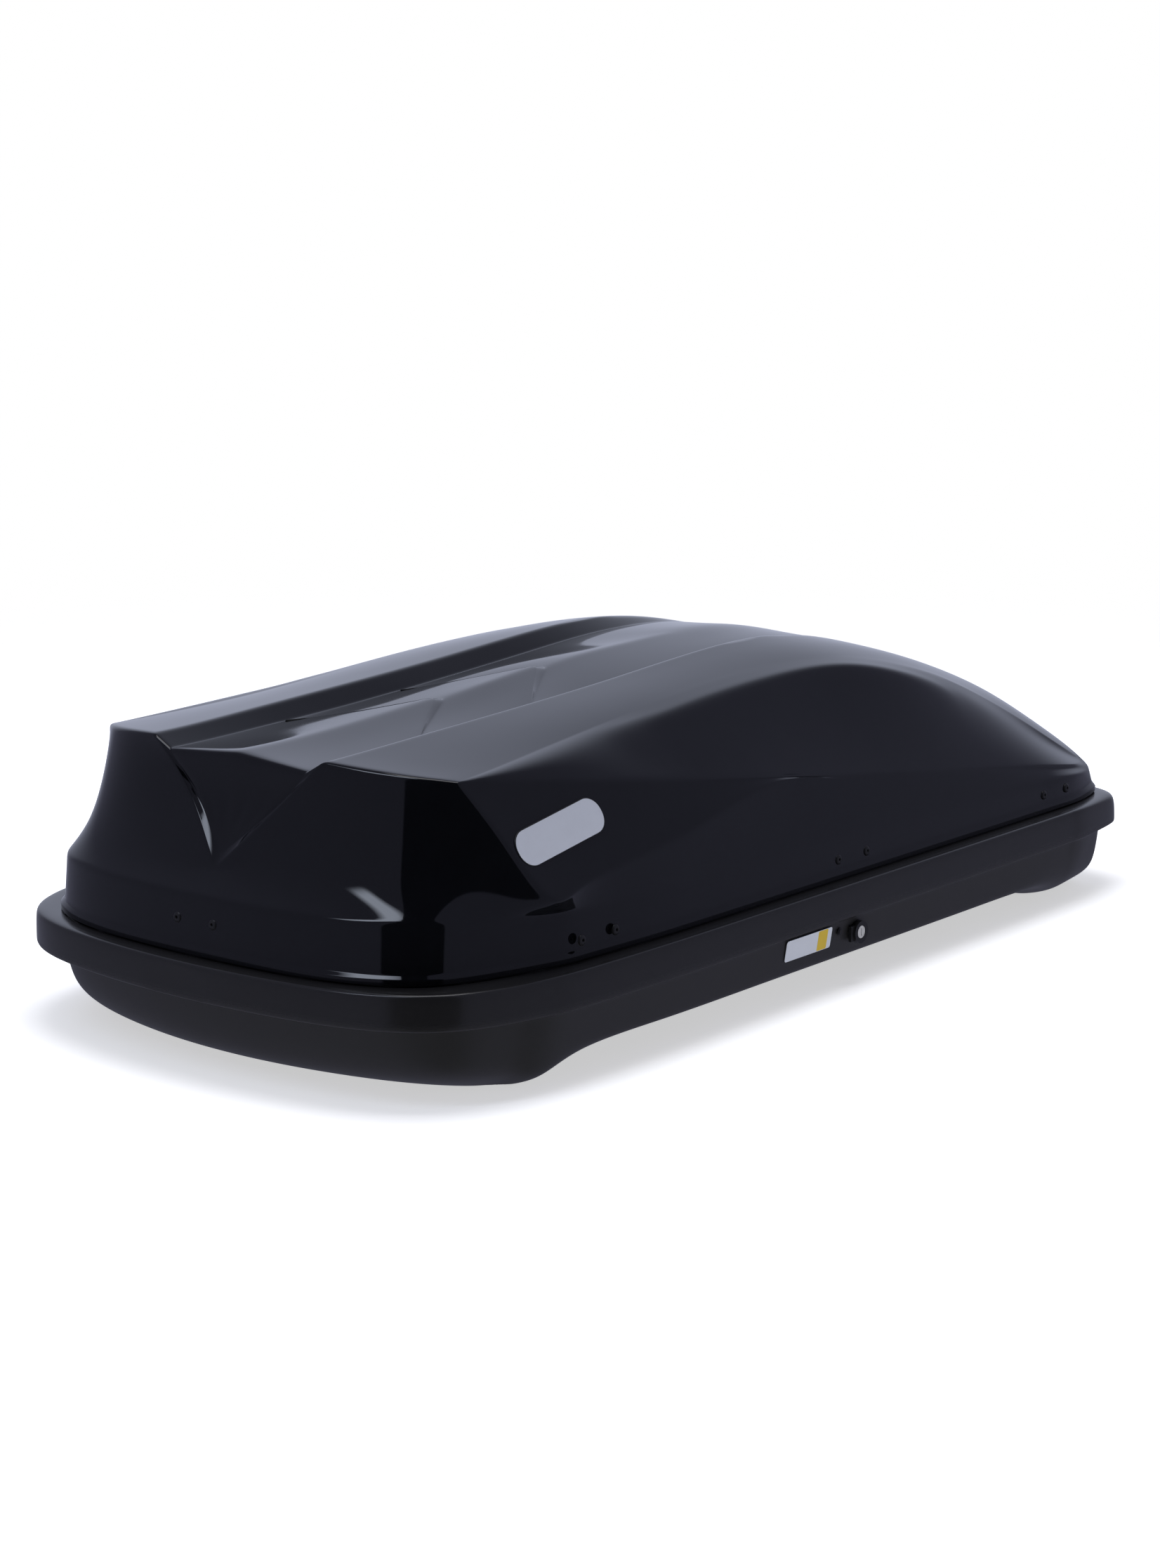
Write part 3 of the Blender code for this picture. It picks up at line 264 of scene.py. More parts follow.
def tray_abs():
    """The tray's outside: glossy rolled rim above a grained wall."""
    made, tree, shader, place = new_material("tray_satin", (0.012, 0.012, 0.0125), 0.35)
    cloud = noise(tree, place, 8.0, 4.0, 0.6)
    height = node(tree, "ShaderNodeSeparateXYZ", Vector=place).outputs["Z"]
    low_wall = spread(tree, height, 1.0, 0.0, RIM_FOOT - 0.004, RIM_FOOT + 0.010)
    rim = tint(tree, cloud, (0.0115, 0.0113, 0.0120), (0.0150, 0.0148, 0.0155))
    wall = tint(tree, cloud, (0.0185, 0.0180, 0.0186), (0.0235, 0.0230, 0.0236))
    tree.links.new(tint(tree, low_wall, rim, wall), shader.inputs["Base Color"])
    sheen = spread(tree, cloud, -0.03, 0.04)
    level = spread(tree, low_wall, 0.20, 0.42, 0.0, 1.0)
    tree.links.new(calc(tree, "ADD", sheen, level), shader.inputs["Roughness"])
    on_wall = calc(tree, "MULTIPLY", noise(tree, place, 1100.0, 3.0, 0.65), low_wall)
    bumps(tree, shader, (noise(tree, place, 12.0, 1.0), 0.0014, 0.18), (on_wall, 0.00012, 0.22))
    return made


def plated(name, colour, roughness, metallic=1.0):
    """Plated steel: fine grain, soft mottling and duller handling marks."""
    made, tree, shader, place = new_material(name, colour, roughness, Metallic=metallic)
    mottle = noise(tree, place, 60.0, 4.0, 0.6)
    darker = tuple(c * 0.78 for c in colour)
    tree.links.new(tint(tree, mottle, darker, colour), shader.inputs["Base Color"])
    grain = noise(tree, place, 260.0, 3.0, 0.6)
    blend = calc(tree, "MULTIPLY", mottle, grain)
    tree.links.new(spread(tree, blend, roughness - 0.08, roughness + 0.14, 0.12, 0.42),
                   shader.inputs["Roughness"])
    bumps(tree, shader, (grain, 0.00006, 0.22))
    return made


def foam():
    """Closed-cell foam strip."""
    made, tree, shader, place = new_material("foam", (0.012, 0.012, 0.012), 0.85)
    cells = node(tree, "ShaderNodeTexVoronoi", Vector=place, Scale=900.0)
    tree.links.new(tint(tree, cells.outputs["Distance"], (0.006, 0.006, 0.006), (0.020, 0.020, 0.020)),
                   shader.inputs["Base Color"])
    tree.links.new(spread(tree, noise(tree, place, 40.0), 0.78, 0.92), shader.inputs["Roughness"])
    bumps(tree, shader, (cells.outputs["Distance"], 0.0004, 0.5))
    return made


def film(name, colour, roughness):
    """Printed vinyl film: nearly flat, with a trace of adhesive texture and handling."""
    made, tree, shader, place = new_material(name, colour, roughness)
    fleck = noise(tree, place, 75.0, 3.0, 0.6)
    darker = tuple(c * 0.93 for c in colour)
    tree.links.new(tint(tree, fleck, darker, colour), shader.inputs["Base Color"])
    tree.links.new(spread(tree, fleck, roughness - 0.06, roughness + 0.08), shader.inputs["Roughness"])
    bumps(tree, shader, (noise(tree, place, 500.0, 2.0), 0.00004, 0.25))
    return made


# ---------------------------------------------------------------- outlines and rails
def along(points, x):
    """Value of a smooth curve through (x, value, ...) points, as a tuple of the values."""
    if x <= points[0][0]:
        return tuple(points[0][1:])
    if x >= points[-1][0]:
        return tuple(points[-1][1:])
    k = max(i for i in range(len(points) - 1) if points[i][0] <= x)
    left, right = points[k], points[k + 1]
    width = right[0] - left[0]
    t = (x - left[0]) / width

    def slope(i, c):
        before, after = points[max(i - 1, 0)], points[min(i + 1, len(points) - 1)]
        return (after[c] - before[c]) / (after[0] - before[0])

    out = []
    for c in range(1, len(left)):
        m0, m1 = slope(k, c) * width, slope(k + 1, c) * width
        rise = right[c] - left[c]
        out.append(left[c] + t * (m0 + t * (3 * rise - 2 * m0 - m1 + t * (m0 + m1 - 2 * rise))))
    return tuple(out)


def mix(p, q, t):
    return tuple(a + (b - a) * t for a, b in zip(p, q))


def fade(x, start, end):
    """1 before start, 0 after end, smooth between."""
    t = min(max((x - start) / (end - start), 0.0), 1.0)
    return 1 - t * t * (3 - 2 * t)


class Plan:
    """Rounded box outline: straight sides, ends that bow out in the middle."""

    def __init__(self, half, rear, nose):
        self.half, self.rear, self.nose = half, rear, nose

    def end(self, part, side, inset):
        """Point on an end, at a part of the half width. side is -1 at the rear and +1 at the nose."""
        bow, square = self.rear if side < 0 else self.nose
        reach = self.half[0] - inset[0] - bow * part * part
        x = reach * (1 - part ** square) ** (1 / square)
        return side * x, part * (self.half[1] - inset[1])

    def flank(self, x, inset):
        """Point on the long side at x."""
        bow, square = self.rear if x < 0 else self.nose
        reach = self.half[0] - inset[0] - bow
        return x, (self.half[1] - inset[1]) * (1 - (abs(x) / reach) ** square) ** (1 / square)


TRAY_PLAN = Plan(TRAY_HALF, TRAY_REAR, TRAY_NOSE)
LID_PLAN = Plan(LID_HALF, LID_REAR, LID_NOSE)


# ---------------------------------------------------------------- smooth skins
def link(name, data):
    made = bpy.data.objects.new(name, data)
    bpy.context.collection.objects.link(made)
    return made


class Skin:
    """Cage of quads that is symmetric about the XZ plane, with creases of chosen sharpness."""

    def __init__(self):
        self.index, self.points, self.faces, self.creases = {}, [], [], {}

    def vert(self, p):
        key = tuple(round(c, 5) + 0.0 for c in p)
        if key not in self.index:
            self.index[key] = len(self.points)
            self.points.append(p)
        return self.index[key]

    def face(self, *corners):
        for sign in (1, -1):
            ring = []
            for p in corners[::sign]:
                i = self.vert((p[0], sign * p[1], p[2]))
                if i not in ring:
                    ring.append(i)
            if len(ring) > 2:
                self.faces.append(ring)

    def grid(self, rows):
        for upper, lower in zip(rows, rows[1:]):
            for i in range(len(upper) - 1):
                self.face(upper[i], upper[i + 1], lower[i + 1], lower[i])

    def crease(self, line, weight):
        """Sharpen the edges along a line of cage points. weight is a number or a function of x."""
        for p, q in zip(line, line[1:]):
            level = weight((p[0] + q[0]) / 2) if callable(weight) else weight
            for sign in (1, -1):
                pair = frozenset(self.vert((r[0], sign * r[1], r[2])) for r in (p, q))
                if len(pair) == 2:
                    self.creases[pair] = max(level, self.creases.get(pair, 0.0))

    def cage(self, name):
        """The cage as an object, facing outward, with its crease weights."""
        mesh = bpy.data.meshes.new(name)
        mesh.from_pydata(self.points, [], self.faces)
        made = link(name, mesh)
        bm = bmesh.new()
        bm.from_mesh(mesh)
        bmesh.ops.recalc_face_normals(bm, faces=bm.faces)
        middle = Vector((0, 0, RIM_TOP))
        outward = sum((f.calc_center_median() - middle).dot(f.normal) * f.calc_area() for f in bm.faces)
        if outward < 0:
            bmesh.ops.reverse_faces(bm, faces=bm.faces)
        layer = bm.edges.layers.float.new("crease_edge")
        for edge in bm.edges:
            edge[layer] = self.creases.get(frozenset(v.index for v in edge.verts), 0.0)
        bm.to_mesh(mesh)
        bm.free()
        return made

    def fit(self, made):
        """Move the cage's points, a little each round, until the smooth surface passes through them."""
        aims = [Vector(p) for p in self.points]
        for _ in range(FIT_ROUNDS):
            surface = made.evaluated_get(bpy.context.evaluated_depsgraph_get()).data
            moves = [aim - surface.vertices[i].co for i, aim in enumerate(aims)]
            for vert, move, aim in zip(made.data.vertices, moves, aims):
                vert.co += move * FIT_PACE
                drift = vert.co - aim
                most = NOSE_DRIFT if aim.x > NOSE_TIP_X else FLOOR_DRIFT if aim.z < LOW_ROWS_Z else FREE_DRIFT
                if drift.length > most:
                    vert.co = aim + drift * (most / drift.length)
                if abs(aim.z - MID_FLOOR) < NEAR:       # the clamps slide here, so nothing rises above it
                    vert.co.z = aim.z
            made.data.update()

    def build(self, name):
        """The smooth surface through the cage's points, as an object with its subdivision applied."""
        made = self.cage(name)
        step = made.modifiers.new("smooth", "SUBSURF")
        step.levels = step.render_levels = FIT_LEVELS
        step.boundary_smooth = "ALL"
        self.fit(made)
        step.levels = step.render_levels = LEVELS
        apply_modifiers(made)
        half_x, half_y, top = EXTENT
        for vert in made.data.vertices:
            x, y, z = vert.co
            vert.co = (min(max(x, -half_x), half_x), min(max(y, -half_y), half_y), min(max(z, 0.0), top))
        return made


def apply_modifiers(obj):
    evaluated = obj.evaluated_get(bpy.context.evaluated_depsgraph_get())
    mesh = bpy.data.meshes.new_from_object(evaluated)
    obj.modifiers.clear()
    mesh.name = obj.data.name
    obj.data = mesh


def thicken(obj, wall, outside, inside):
    """Give an open skin its wall, with one finish outside and another inside."""
    obj.data.materials.clear()
    obj.data.materials.append(outside)
    obj.data.materials.append(inside)
    step = obj.modifiers.new("wall", "SOLIDIFY")
    step.thickness = wall
    step.offset = -1.0
    step.material_offset = 1
    apply_modifiers(obj)


# ---------------------------------------------------------------- lid
def top_ends(y_rear, y_nose):
    """x of the top's rear edge and of its nose edge, each at its own distance from the middle."""
    rear = TOP_REAR + (CORNER_REAR[0] - TOP_REAR) * (y_rear / CORNER_REAR[1]) ** 4
    nose = TOP_NOSE + (CORNER_NOSE[0] - TOP_NOSE) * (y_nose / CORNER_NOSE[1]) ** 4
    return rear, nose


def lid_top_row(t):
    """Points across the top from the middle to the shoulder, at a part t of the length."""
    x = TOP_REAR + (TOP_NOSE - TOP_REAR) * t
    ridge = along(RIDGE, x)[0]
    row = [(x, FLOOR_Y, channel_floor(x)), (x, RIDGE_Y, ridge)]
    shoulder_x = CORNER_REAR[0] + (CORNER_NOSE[0] - CORNER_REAR[0]) * t
    shoulder_y, shoulder_z = along(SHOULDER, shoulder_x)
    crown = along(CROWN, x)[0]
    for g in SPREAD:
        y, y_rear, y_nose = (RIDGE_Y + (far_y - RIDGE_Y) * g
                             for far_y in (shoulder_y, CORNER_REAR[1], CORNER_NOSE[1]))
        rear, nose = top_ends(y_rear, y_nose)
        z = ridge + (shoulder_z - ridge) * g + 4 * crown * g * (1 - g)
        row.append((rear * (1 - t) + nose * t, y, z))
    row.append((shoulder_x, shoulder_y, shoulder_z))
    return row


def channel_floor(x):
    """Height of the channel's floor at its edge: a line from the spine to the ridge, less the depth."""
    line = along(SPINE, x)[0] * (1 - FLOOR_SHARE) + along(RIDGE, x)[0] * FLOOR_SHARE
    return line - along(CHANNEL_DEPTH, x)[0]


def chevron_strip():
    """Rows from the spine to the channel's edge. A chevron is two rows that meet at the edge."""
    rows = []
    last = CHEVRON_ROWS[-1]
    for k, t in enumerate(LID_STEPS):
        edge_x = TOP_REAR + (TOP_NOSE - TOP_REAR) * t
        edge = (edge_x, FLOOR_Y, channel_floor(edge_x))
        lead = along(CHEVRON_LEAD, edge_x)[0]
        stepped = k in CHEVRON_ROWS
        for after in (0, 1) if stepped else (0,):
            row = []
            for part in STRIP:
                x = edge_x + (lead + CHEVRON_RUN * after) * (1 - part)
                spine, floor = along(SPINE, x)[0], channel_floor(x)
                z = spine + (floor - spine) * part
                lower = CHEVRON_DROP * after if stepped else 0.5 * CHEVRON_DROP * (0 < k < last)
                row.append((x, FLOOR_Y * part, z - lower * (1 - part ** 6)))
            row[-1] = edge
            rows.append(row)
    return rows


def lid_foot(plan_point):
    """The band's foot, the flared lip and its lower edge below a point found by plan_point(inset)."""
    return [(*plan_point(inset), z) for inset, z in LIP_ROWS]


def lid_side_spoke(t, top):
    """Points down the side from the shoulder to the lip."""
    x = top[0]
    bevel = (x, *along(BEVEL, x))
    crease = (x, *along(CREASE, x))
    x_fold = FOLD[0][0] + (FOLD[-1][0] - FOLD[0][0]) * t
    fold = (x_fold, *along(FOLD, x_fold))
    half_way = mix(crease, fold, 0.5)
    x_band = BAND_X[0] + (BAND_X[1] - BAND_X[0]) * t
    band = (*LID_PLAN.flank(x_band, BAND_INSET), along(BAND_TOP, x_band)[0])
    return [top, bevel, crease, half_way, fold, band, *lid_foot(lambda i: LID_PLAN.flank(x_band, i))]


def lid_end_spoke(top, part, side):
    """Points down the rear wall or the nose from the top's edge to the lip."""
    drops, pulls = (WALL_DROPS, WALL_PULLS) if side < 0 else (NOSE_DROPS, NOSE_PULLS)
    height, fall, late = REAR_BAND if side < 0 else NOSE_BAND
    band = (*LID_PLAN.end(part, side, BAND_INSET), height - fall * part ** late)
    spoke = [top, top, top]
    ease = 1 - CORNER_EASE * (part / REAR_PARTS[-1]) ** 6
    for s, pull in zip(drops, pulls):
        x, y, z = mix(top, band, s)
        spoke.append((x - side * pull * ease, y, z))
    return spoke + [band, *lid_foot(lambda i: LID_PLAN.end(part, side, i))]


def lid_skin():
    """The lid's cage: the top, the channel's strip, a ring of spokes down to the lip, and the V."""
    skin = Skin()
    top = [lid_top_row(t) for t in LID_STEPS]
    strip = chevron_strip()
    skin.grid([row[::-1] for row in top])
    skin.grid([row[::-1] for row in strip])

    rear_top, nose_top = top[0], top[-1]
    spine_nose = strip[-1]
    nose_row = [spine_nose[0], nose_top[0]] + nose_top[1:5]
    sides = [lid_side_spoke(t, row[-1]) for t, row in zip(LID_STEPS, top)]
    rear = [lid_end_spoke(p, part, -1) for p, part in zip([strip[0][0]] + rear_top[2:5], REAR_PARTS)]
    nose = [lid_end_spoke(p, part, 1) for p, part in zip(nose_row, NOSE_PARTS)]
    ring = rear[1:] + sides + nose[::-1]

    # The V on the rear wall: a sunk panel, its step, and one spoke below the tip.
    floor_top, ridge_top = rear_top[:2]
    beside = rear[1]
    panel_row = v_panel(skin, strip[0])
    skin.face(*panel_row[:2], TIP_IN)
    for p, q in zip(panel_row[1:], panel_row[2:]):
        skin.face(p, q, TIP_IN)
    skin.face(floor_top, V_IN, V_OUT, ridge_top)
    skin.face(V_IN, TIP_IN, TIP_OUT, V_OUT)
    skin.face(ridge_top, V_OUT, beside[3], beside[0])
    skin.face(V_OUT, TIP_OUT, beside[4], beside[3])
    rear[0][4] = TIP_OUT
    skin.grid([spoke[4:] for spoke in rear[:2]])
    skin.grid(ring)

    for line in ([ridge_top, V_OUT, TIP_OUT], [floor_top, V_IN, TIP_IN], [TIP_IN, TIP_OUT],
                 [floor_top, ridge_top]):
        skin.crease(line, 0.58)
    skin.crease(rear_top[1:], 0.52)
    skin.crease(strip[0], 0.52)
    skin.crease([nose_row[0], *nose_top], 0.20)
    skin.crease([row[0] for row in strip], lambda x: 0.42 * fade(x, 0.10, 0.24))
    skin.crease([row[0] for row in top], lambda x: 0.60 * fade(x, 0.16, 0.32))
    skin.crease([row[1] for row in top], lambda x: 0.52 * fade(x, 0.14, 0.34))
    for k in CHEVRON_ROWS:
        for row in strip[k + CHEVRON_ROWS.index(k):][:2]:
            skin.crease(row, 0.55)
    for column, weight in ((0, lambda x: 0.55 * (1 - fade(x, 0.20, 0.42) + fade(x, -0.30, 0.20))),
                           (1, lambda x: 0.42 * (1 - fade(x, -0.45, -0.15)) * fade(x, 0.30, 0.55)),
                           (2, lambda x: 0.60 - 0.20 * (1 - fade(x, 0.40, 0.60))),
                           (4, lambda x: 0.60 * fade(x, 0.40, 0.60))):
        skin.crease([spoke[column] for spoke in sides], weight)
    skin.crease(sides[0][2:5], 0.58)
    whole = [rear[0]] + ring + [nose[0]]
    band_line = [spoke[5] for spoke in rear + sides + nose[::-1]]
    skin.crease(band_line, lambda x: 0.34 + 0.50 * fade(x, -0.40, 0.12))
    for column, weight in ((6, 0.50), (7, 0.55), (8, 1.0)):
        skin.crease([spoke[column] for spoke in whole], weight)
    return skin


def v_panel(skin, top_row):
    """The upper half of the sunk V panel: one column for each point of the strip's first row."""
    mids = [mix((V_IN[0], 0.0, V_IN[2]), V_IN, part) for part in STRIP]
    for i in range(len(STRIP) - 1):
        skin.face(top_row[i], mids[i], mids[i + 1], top_row[i + 1])
    return mids


def make_lid(finishes):
    lid = lid_skin().build("lid_gloss_shell")
    thicken(lid, LID_WALL, finishes["lid"], finishes["lid_inside"])
    lid.data.shade_smooth()
    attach(lid, "lid")
    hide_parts("lid_shell")


# ---------------------------------------------------------------- tray
def lobe(x):
    """1 over the two lobes, 0 over the raised floor between them."""
    return 0.0 if LOBE_EDGES[1] - NEAR <= x <= LOBE_EDGES[2] + NEAR else 1.0


def tray_levels(x, end):
    """Inset along x, inset along y and height of each row from the upstand down to the floor's edge."""
    w = lobe(x)
    ledge = END_LEDGE if end else SIDE_LEDGE
    rows = [(UPSTAND_INSET, UPSTAND_INSET, UPSTAND_TOP), (UPSTAND_INSET, UPSTAND_INSET, RIM_TOP),
            (RIM_ROUND, RIM_ROUND, RIM_TOP), (0, 0, RIM_TOP - RIM_DROP), (0, 0, RIM_FOOT + FOOT_STEP),
            (ledge, ledge, RIM_FOOT - FOOT_STEP)]
    if end:
        return rows + list(REAR_END if x < 0 else NOSE_END)
    low, deep = MID_SIDE, REAR_SIDE if x < 0 else NOSE_SIDE
    for (y_low, z_low), (y_deep, z_deep) in zip(low, deep):
        y = y_low + (y_deep - y_low) * w
        rows.append((y, y, z_low + (z_deep - z_low) * w))
    return rows


def tray_side_spoke(x):
    return [(*TRAY_PLAN.flank(x, (dx, dy)), z) for dx, dy, z in tray_levels(x, False)]


def tray_end_spoke(part, side):
    """Points down an end. Towards the corner they step in more and more across the tray."""
    spoke = []
    for (dx, dy, z), (_, dy_side, _) in zip(tray_levels(side, True), tray_levels(side, False)):
        turn = (part / TURN_PART) ** 8 if z < RIM_FOOT else 0.0
        inset = (dx * (1 - END_LOSS * turn), dy + (dy_side - dy) * SIDE_GAIN * turn)
        spoke.append((*TRAY_PLAN.end(part, side, inset), z))
    return spoke


def tray_skin():
    """The tray's cage: a ring of spokes from the upstand down, and the floor between their feet."""
    skin = Skin()
    rear = [tray_end_spoke(p, -1) for p in TRAY_REAR_PARTS]
    nose = [tray_end_spoke(p, 1) for p in TRAY_NOSE_PARTS]
    sides = [tray_side_spoke(x) for x in TRAY_STEPS]
    whole = rear + sides + nose[::-1]
    skin.grid(whole)
    rows = [[spoke[-1] for spoke in rear]]
    for spoke in sides:
        x, y, z = spoke[-1]
        bow = LOBE_BOW if x in LOBE_EDGES[2:] else 0.0
        rows.append([(x - bow * (1 - c * c), y * c, z) for c in TRAY_COLUMNS] + [spoke[-1]])
    rows.append([spoke[-1] for spoke in nose])
    skin.grid(rows)
    for column, weight in ((0, 1.0), (1, 0.62), (4, 0.52), (5, 0.50)):
        skin.crease([spoke[column] for spoke in whole], weight)
    return skin


def make_tray(finishes):
    tray = tray_skin().build("tray_grained_shell")
    thicken(tray, TRAY_WALL, finishes["tray"], finishes["tray_inside"])
    cutter = bmesh.new()            # the clamps' slots and the lock's hole
    for sx in (-1, 1):
        for sy in (-1, 1):
            at = Matrix.Translation((sx * CLAMP_X, sy * CLAMP_Y, MID_FLOOR))
            size = Matrix.Diagonal((2 * SLOT_HALF[0], 2 * SLOT_HALF[1], SLOT_CUT, 1))
            bmesh.ops.create_cube(cutter, size=1.0, matrix=at @ size)
    at = Matrix.Translation((LOCK[0], LOCK_WALL_Y, LOCK[1])) @ Matrix.Rotation(pi / 2, 4, "X")
    bmesh.ops.create_cone(cutter, cap_ends=True, segments=32, radius1=LOCK_BORE, radius2=LOCK_BORE,
                          depth=BORE_LENGTH, matrix=at)
    holes = link("holes", bpy.data.meshes.new("holes"))
    cutter.to_mesh(holes.data)
    cutter.free()
    step = tray.modifiers.new("holes", "BOOLEAN")
    step.operation = "DIFFERENCE"
    step.object = holes
    apply_modifiers(tray)
    bpy.data.objects.remove(holes)
    tray.data.shade_smooth()
    tray.data.set_sharp_from_angle(angle=radians(50))
    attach(tray, "tray")
    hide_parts("base_shell")


# ---------------------------------------------------------------- small parts
def ride(piece, body, slot, *nodes):
    """Attach a piece to a body and hide the CAD nodes that it stands for. The slot, its finish, is not used.
    """
    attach(piece, body)
    if nodes:
        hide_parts(*nodes)


def turned(name, profile, place, axis, finish, segments=28):
    """A solid of revolution. profile is (radius, height) from the outside in, axis points outward."""
    bm = bmesh.new()
    rings = []
    for radius, height in profile:
        count = segments if radius > 0 else 1
        turns = [2 * pi * i / segments for i in range(count)]
        rings.append([bm.verts.new((radius * cos(a), radius * sin(a), height)) for a in turns])
    for outer, inner in zip(rings, rings[1:]):
        for i in range(segments):
            k = (i + 1) % segments
            corners = [outer[i], outer[k]]
            corners += [inner[0]] if len(inner) == 1 else [inner[k], inner[i]]
            bm.faces.new(corners)
    mesh = bpy.data.meshes.new(name)
    bm.to_mesh(mesh)
    bm.free()
    mesh.transform(Matrix.Translation(place) @ Vector(axis).to_track_quat("Z", "Y").to_matrix().to_4x4())
    mesh.materials.append(finish)
    mesh.shade_smooth()
    return link(name, mesh)


def rounded(half_u, half_v, radius, steps=10):
    """Outline of a rectangle with round corners."""
    ring = []
    for k, (su, sv) in enumerate(((1, 1), (-1, 1), (-1, -1), (1, -1))):
        for i in range(steps + 1):
            angle = pi / 2 * (k + i / steps)
            ring.append((su * (half_u - radius) + radius * cos(angle),
                         sv * (half_v - radius) + radius * sin(angle)))
    return ring


def plate(name, ring, centre, flat, normal, low, high, finish):
    """A thin plate with a softened edge, lying on a plane between two heights above it."""
    flat, normal = Vector(flat).normalized(), Vector(normal).normalized()
    rise = normal.cross(flat)
    edge = 0.3 * (high - low)
    bm = bmesh.new()
    rows = []
    for grow, height in ((0.0, low), (0.0, high - edge), (-edge, high)):
        row = []
        for u, v in ring:
            pull = 1 + grow / Vector((u, v)).length
            row.append(bm.verts.new(Vector(centre) + flat * u * pull + rise * v * pull + normal * height))
        rows.append(row)
    count = len(ring)
    for lower, upper in zip(rows, rows[1:]):
        for i in range(count):
            bm.faces.new((lower[i], lower[(i + 1) % count], upper[(i + 1) % count], upper[i]))
    bm.faces.new(rows[-1])
    bm.faces.new(rows[0][::-1])
    mesh = bpy.data.meshes.new(name)
    bm.to_mesh(mesh)
    bm.free()
    mesh.materials.append(finish)
    return link(name, mesh)


def make_rivets(finish):
    """Rivet heads on the lid's band: pairs along the lock side, and one pair at the rear."""
    heads = [("side", k, (x, *SIDE_RIVET_AT), SIDE_RIVET_WAY) for k, x in enumerate(SIDE_RIVETS)]
    x, z = REAR_RIVET_AT
    heads += [("rear", k, (x, y, z), REAR_RIVET_WAY) for k, y in enumerate(REAR_RIVETS)]
    for row, k, place, way in heads:
        ride(turned(f"{row}_rivet_{k + 1}", RIVET, place, way, finish), "lid", "moulded_nylon")


def make_badge(finishes):
    """Blank capsule badge with a dark rim, flat on the facet between the crease and the fold."""
    rear, nose, foot = (Vector((x, *along(rail, x))) for x, rail in BADGE_FACET)
    for point in (rear, nose, foot):
        point.y = -point.y
    normal = (nose - rear).cross(foot - rear).normalized()
    normal *= -1 if normal.y > 0 else 1
    flat = Matrix.Rotation(radians(BADGE_TILT), 3, normal) @ (nose - rear).normalized()
    centre = Vector(BADGE_AT)
    centre -= normal * (centre - rear).dot(normal)
    long, wide = BADGE_HALF
    outline = rounded(long, wide, wide - 0.001)
    backing = plate("badge_backing", outline, centre, flat, normal, BADGE_FOOT, BADGE_TOP,
                    finishes["nylon"])
    ride(backing, "lid", "printed_film", "side_badge")
    outline = rounded(long - BADGE_RIM, wide - BADGE_RIM, wide - BADGE_RIM - 0.001)
    face = plate("badge_face", outline, centre, flat, normal, BADGE_TOP, BADGE_FACE, finishes["film"])
    ride(face, "lid", "printed_film")


def make_label(finishes):
    """Blank white sticker with one plain yellow area."""
    foot, head = Vector(LABEL_FOOT), Vector(LABEL_HEAD)
    rise = head - foot
    centre, flat, normal = (foot + head) / 2, (1, 0, 0), Vector((1, 0, 0)).cross(rise)
    half = rise.length / 2
    paper = plate("label_paper", rounded(LABEL_HALF, half, 0.0030), centre, flat, normal, 0.0, LABEL_TOP,
                  finishes["film"])
    ride(paper, "tray", "printed_film", "blank_label")
    at = centre + Vector((PATCH_AT, 0, 0))
    patch = plate("label_patch", rounded(PATCH_HALF, half - 0.0006, 0.0015), at, flat, normal, LABEL_TOP,
                  PATCH_TOP, finishes["yellow_film"])
    ride(patch, "tray", "printed_film")


def dress_cad(finishes):
    """Give every CAD node that is still seen its finish, and the zinc and nylon ones a small bevel on their
    edges.
    """
    by_slot = {"zinc_steel": "zinc", "nickel": "nickel", "moulded_nylon": "nylon", "foam_rubber": "foam",
               "printed_film": "film", "tray_grained_abs": "tray", "lid_gloss_abs": "lid"}
    for name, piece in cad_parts.items():
        slot = piece.material_slots[0]
        finish = "lock" if name == "lock_cylinder" else by_slot[slot.material.name]
        slot.material = finishes[finish]
        if slot.material in (finishes["zinc"], finishes["nylon"]):
            bevel = piece.modifiers.new("edges", "BEVEL")
            bevel.width = EDGE_BEVEL
            bevel.segments = 2
            bevel.limit_method = "ANGLE"
            bevel.angle_limit = radians(40)


# ---------------------------------------------------------------- studio
CAMERA_AT = (-2.6236, -2.0950, 0.8818)
CAMERA_HEADING, CAMERA_DIP = 38.99, 11.735     # degrees from +X towards +Y, and below the horizon
CAMERA_LENS, SENSOR = 68.86, 36.0
FLOOR_RADIUS, FLOOR_FADE = 3.2, (1.3, 3.0)
BOX_MIDDLE = Vector((0, 0, 0.15))
ROOM, FAR_GLOW = (0.165, 0.168, 0.235), (0.58, 0.62, 0.77)
LAMP, CARD_BLACK, WHITE = (4.2, 4.6, 5.5), (0.004, 0.004, 0.005), (1.0, 1.0, 1.0)
BACK = Vector((-cos(radians(CAMERA_HEADING)), -sin(radians(CAMERA_HEADING)), 0.0))
SIDE = Vector((-BACK.y, BACK.x, 0.0))          # to the camera's right
CARD = BACK + 0.09 * SIDE                      # middle of the black card behind the camera
LAMP_LOW, LAMP_HIGH = (-62, 52), (-38, 73)     # ends of a strip lamp: degrees to the right, and up


def make_camera():
    camera = link("camera", bpy.data.cameras.new("camera"))
    camera.data.lens = CAMERA_LENS
    camera.data.sensor_width = SENSOR
    camera.location = CAMERA_AT
    camera.rotation_euler = (radians(90 - CAMERA_DIP), 0.0, radians(CAMERA_HEADING - 90))
    camera.data.clip_end = 60.0
    bpy.context.scene.camera = camera


def studio_way(right, up):
    """The direction so many degrees to the right of the camera and above the horizon."""
    flat = BACK * cos(radians(right)) + SIDE * sin(radians(right))
    return flat * cos(radians(up)) + Vector((0, 0, sin(radians(up))))


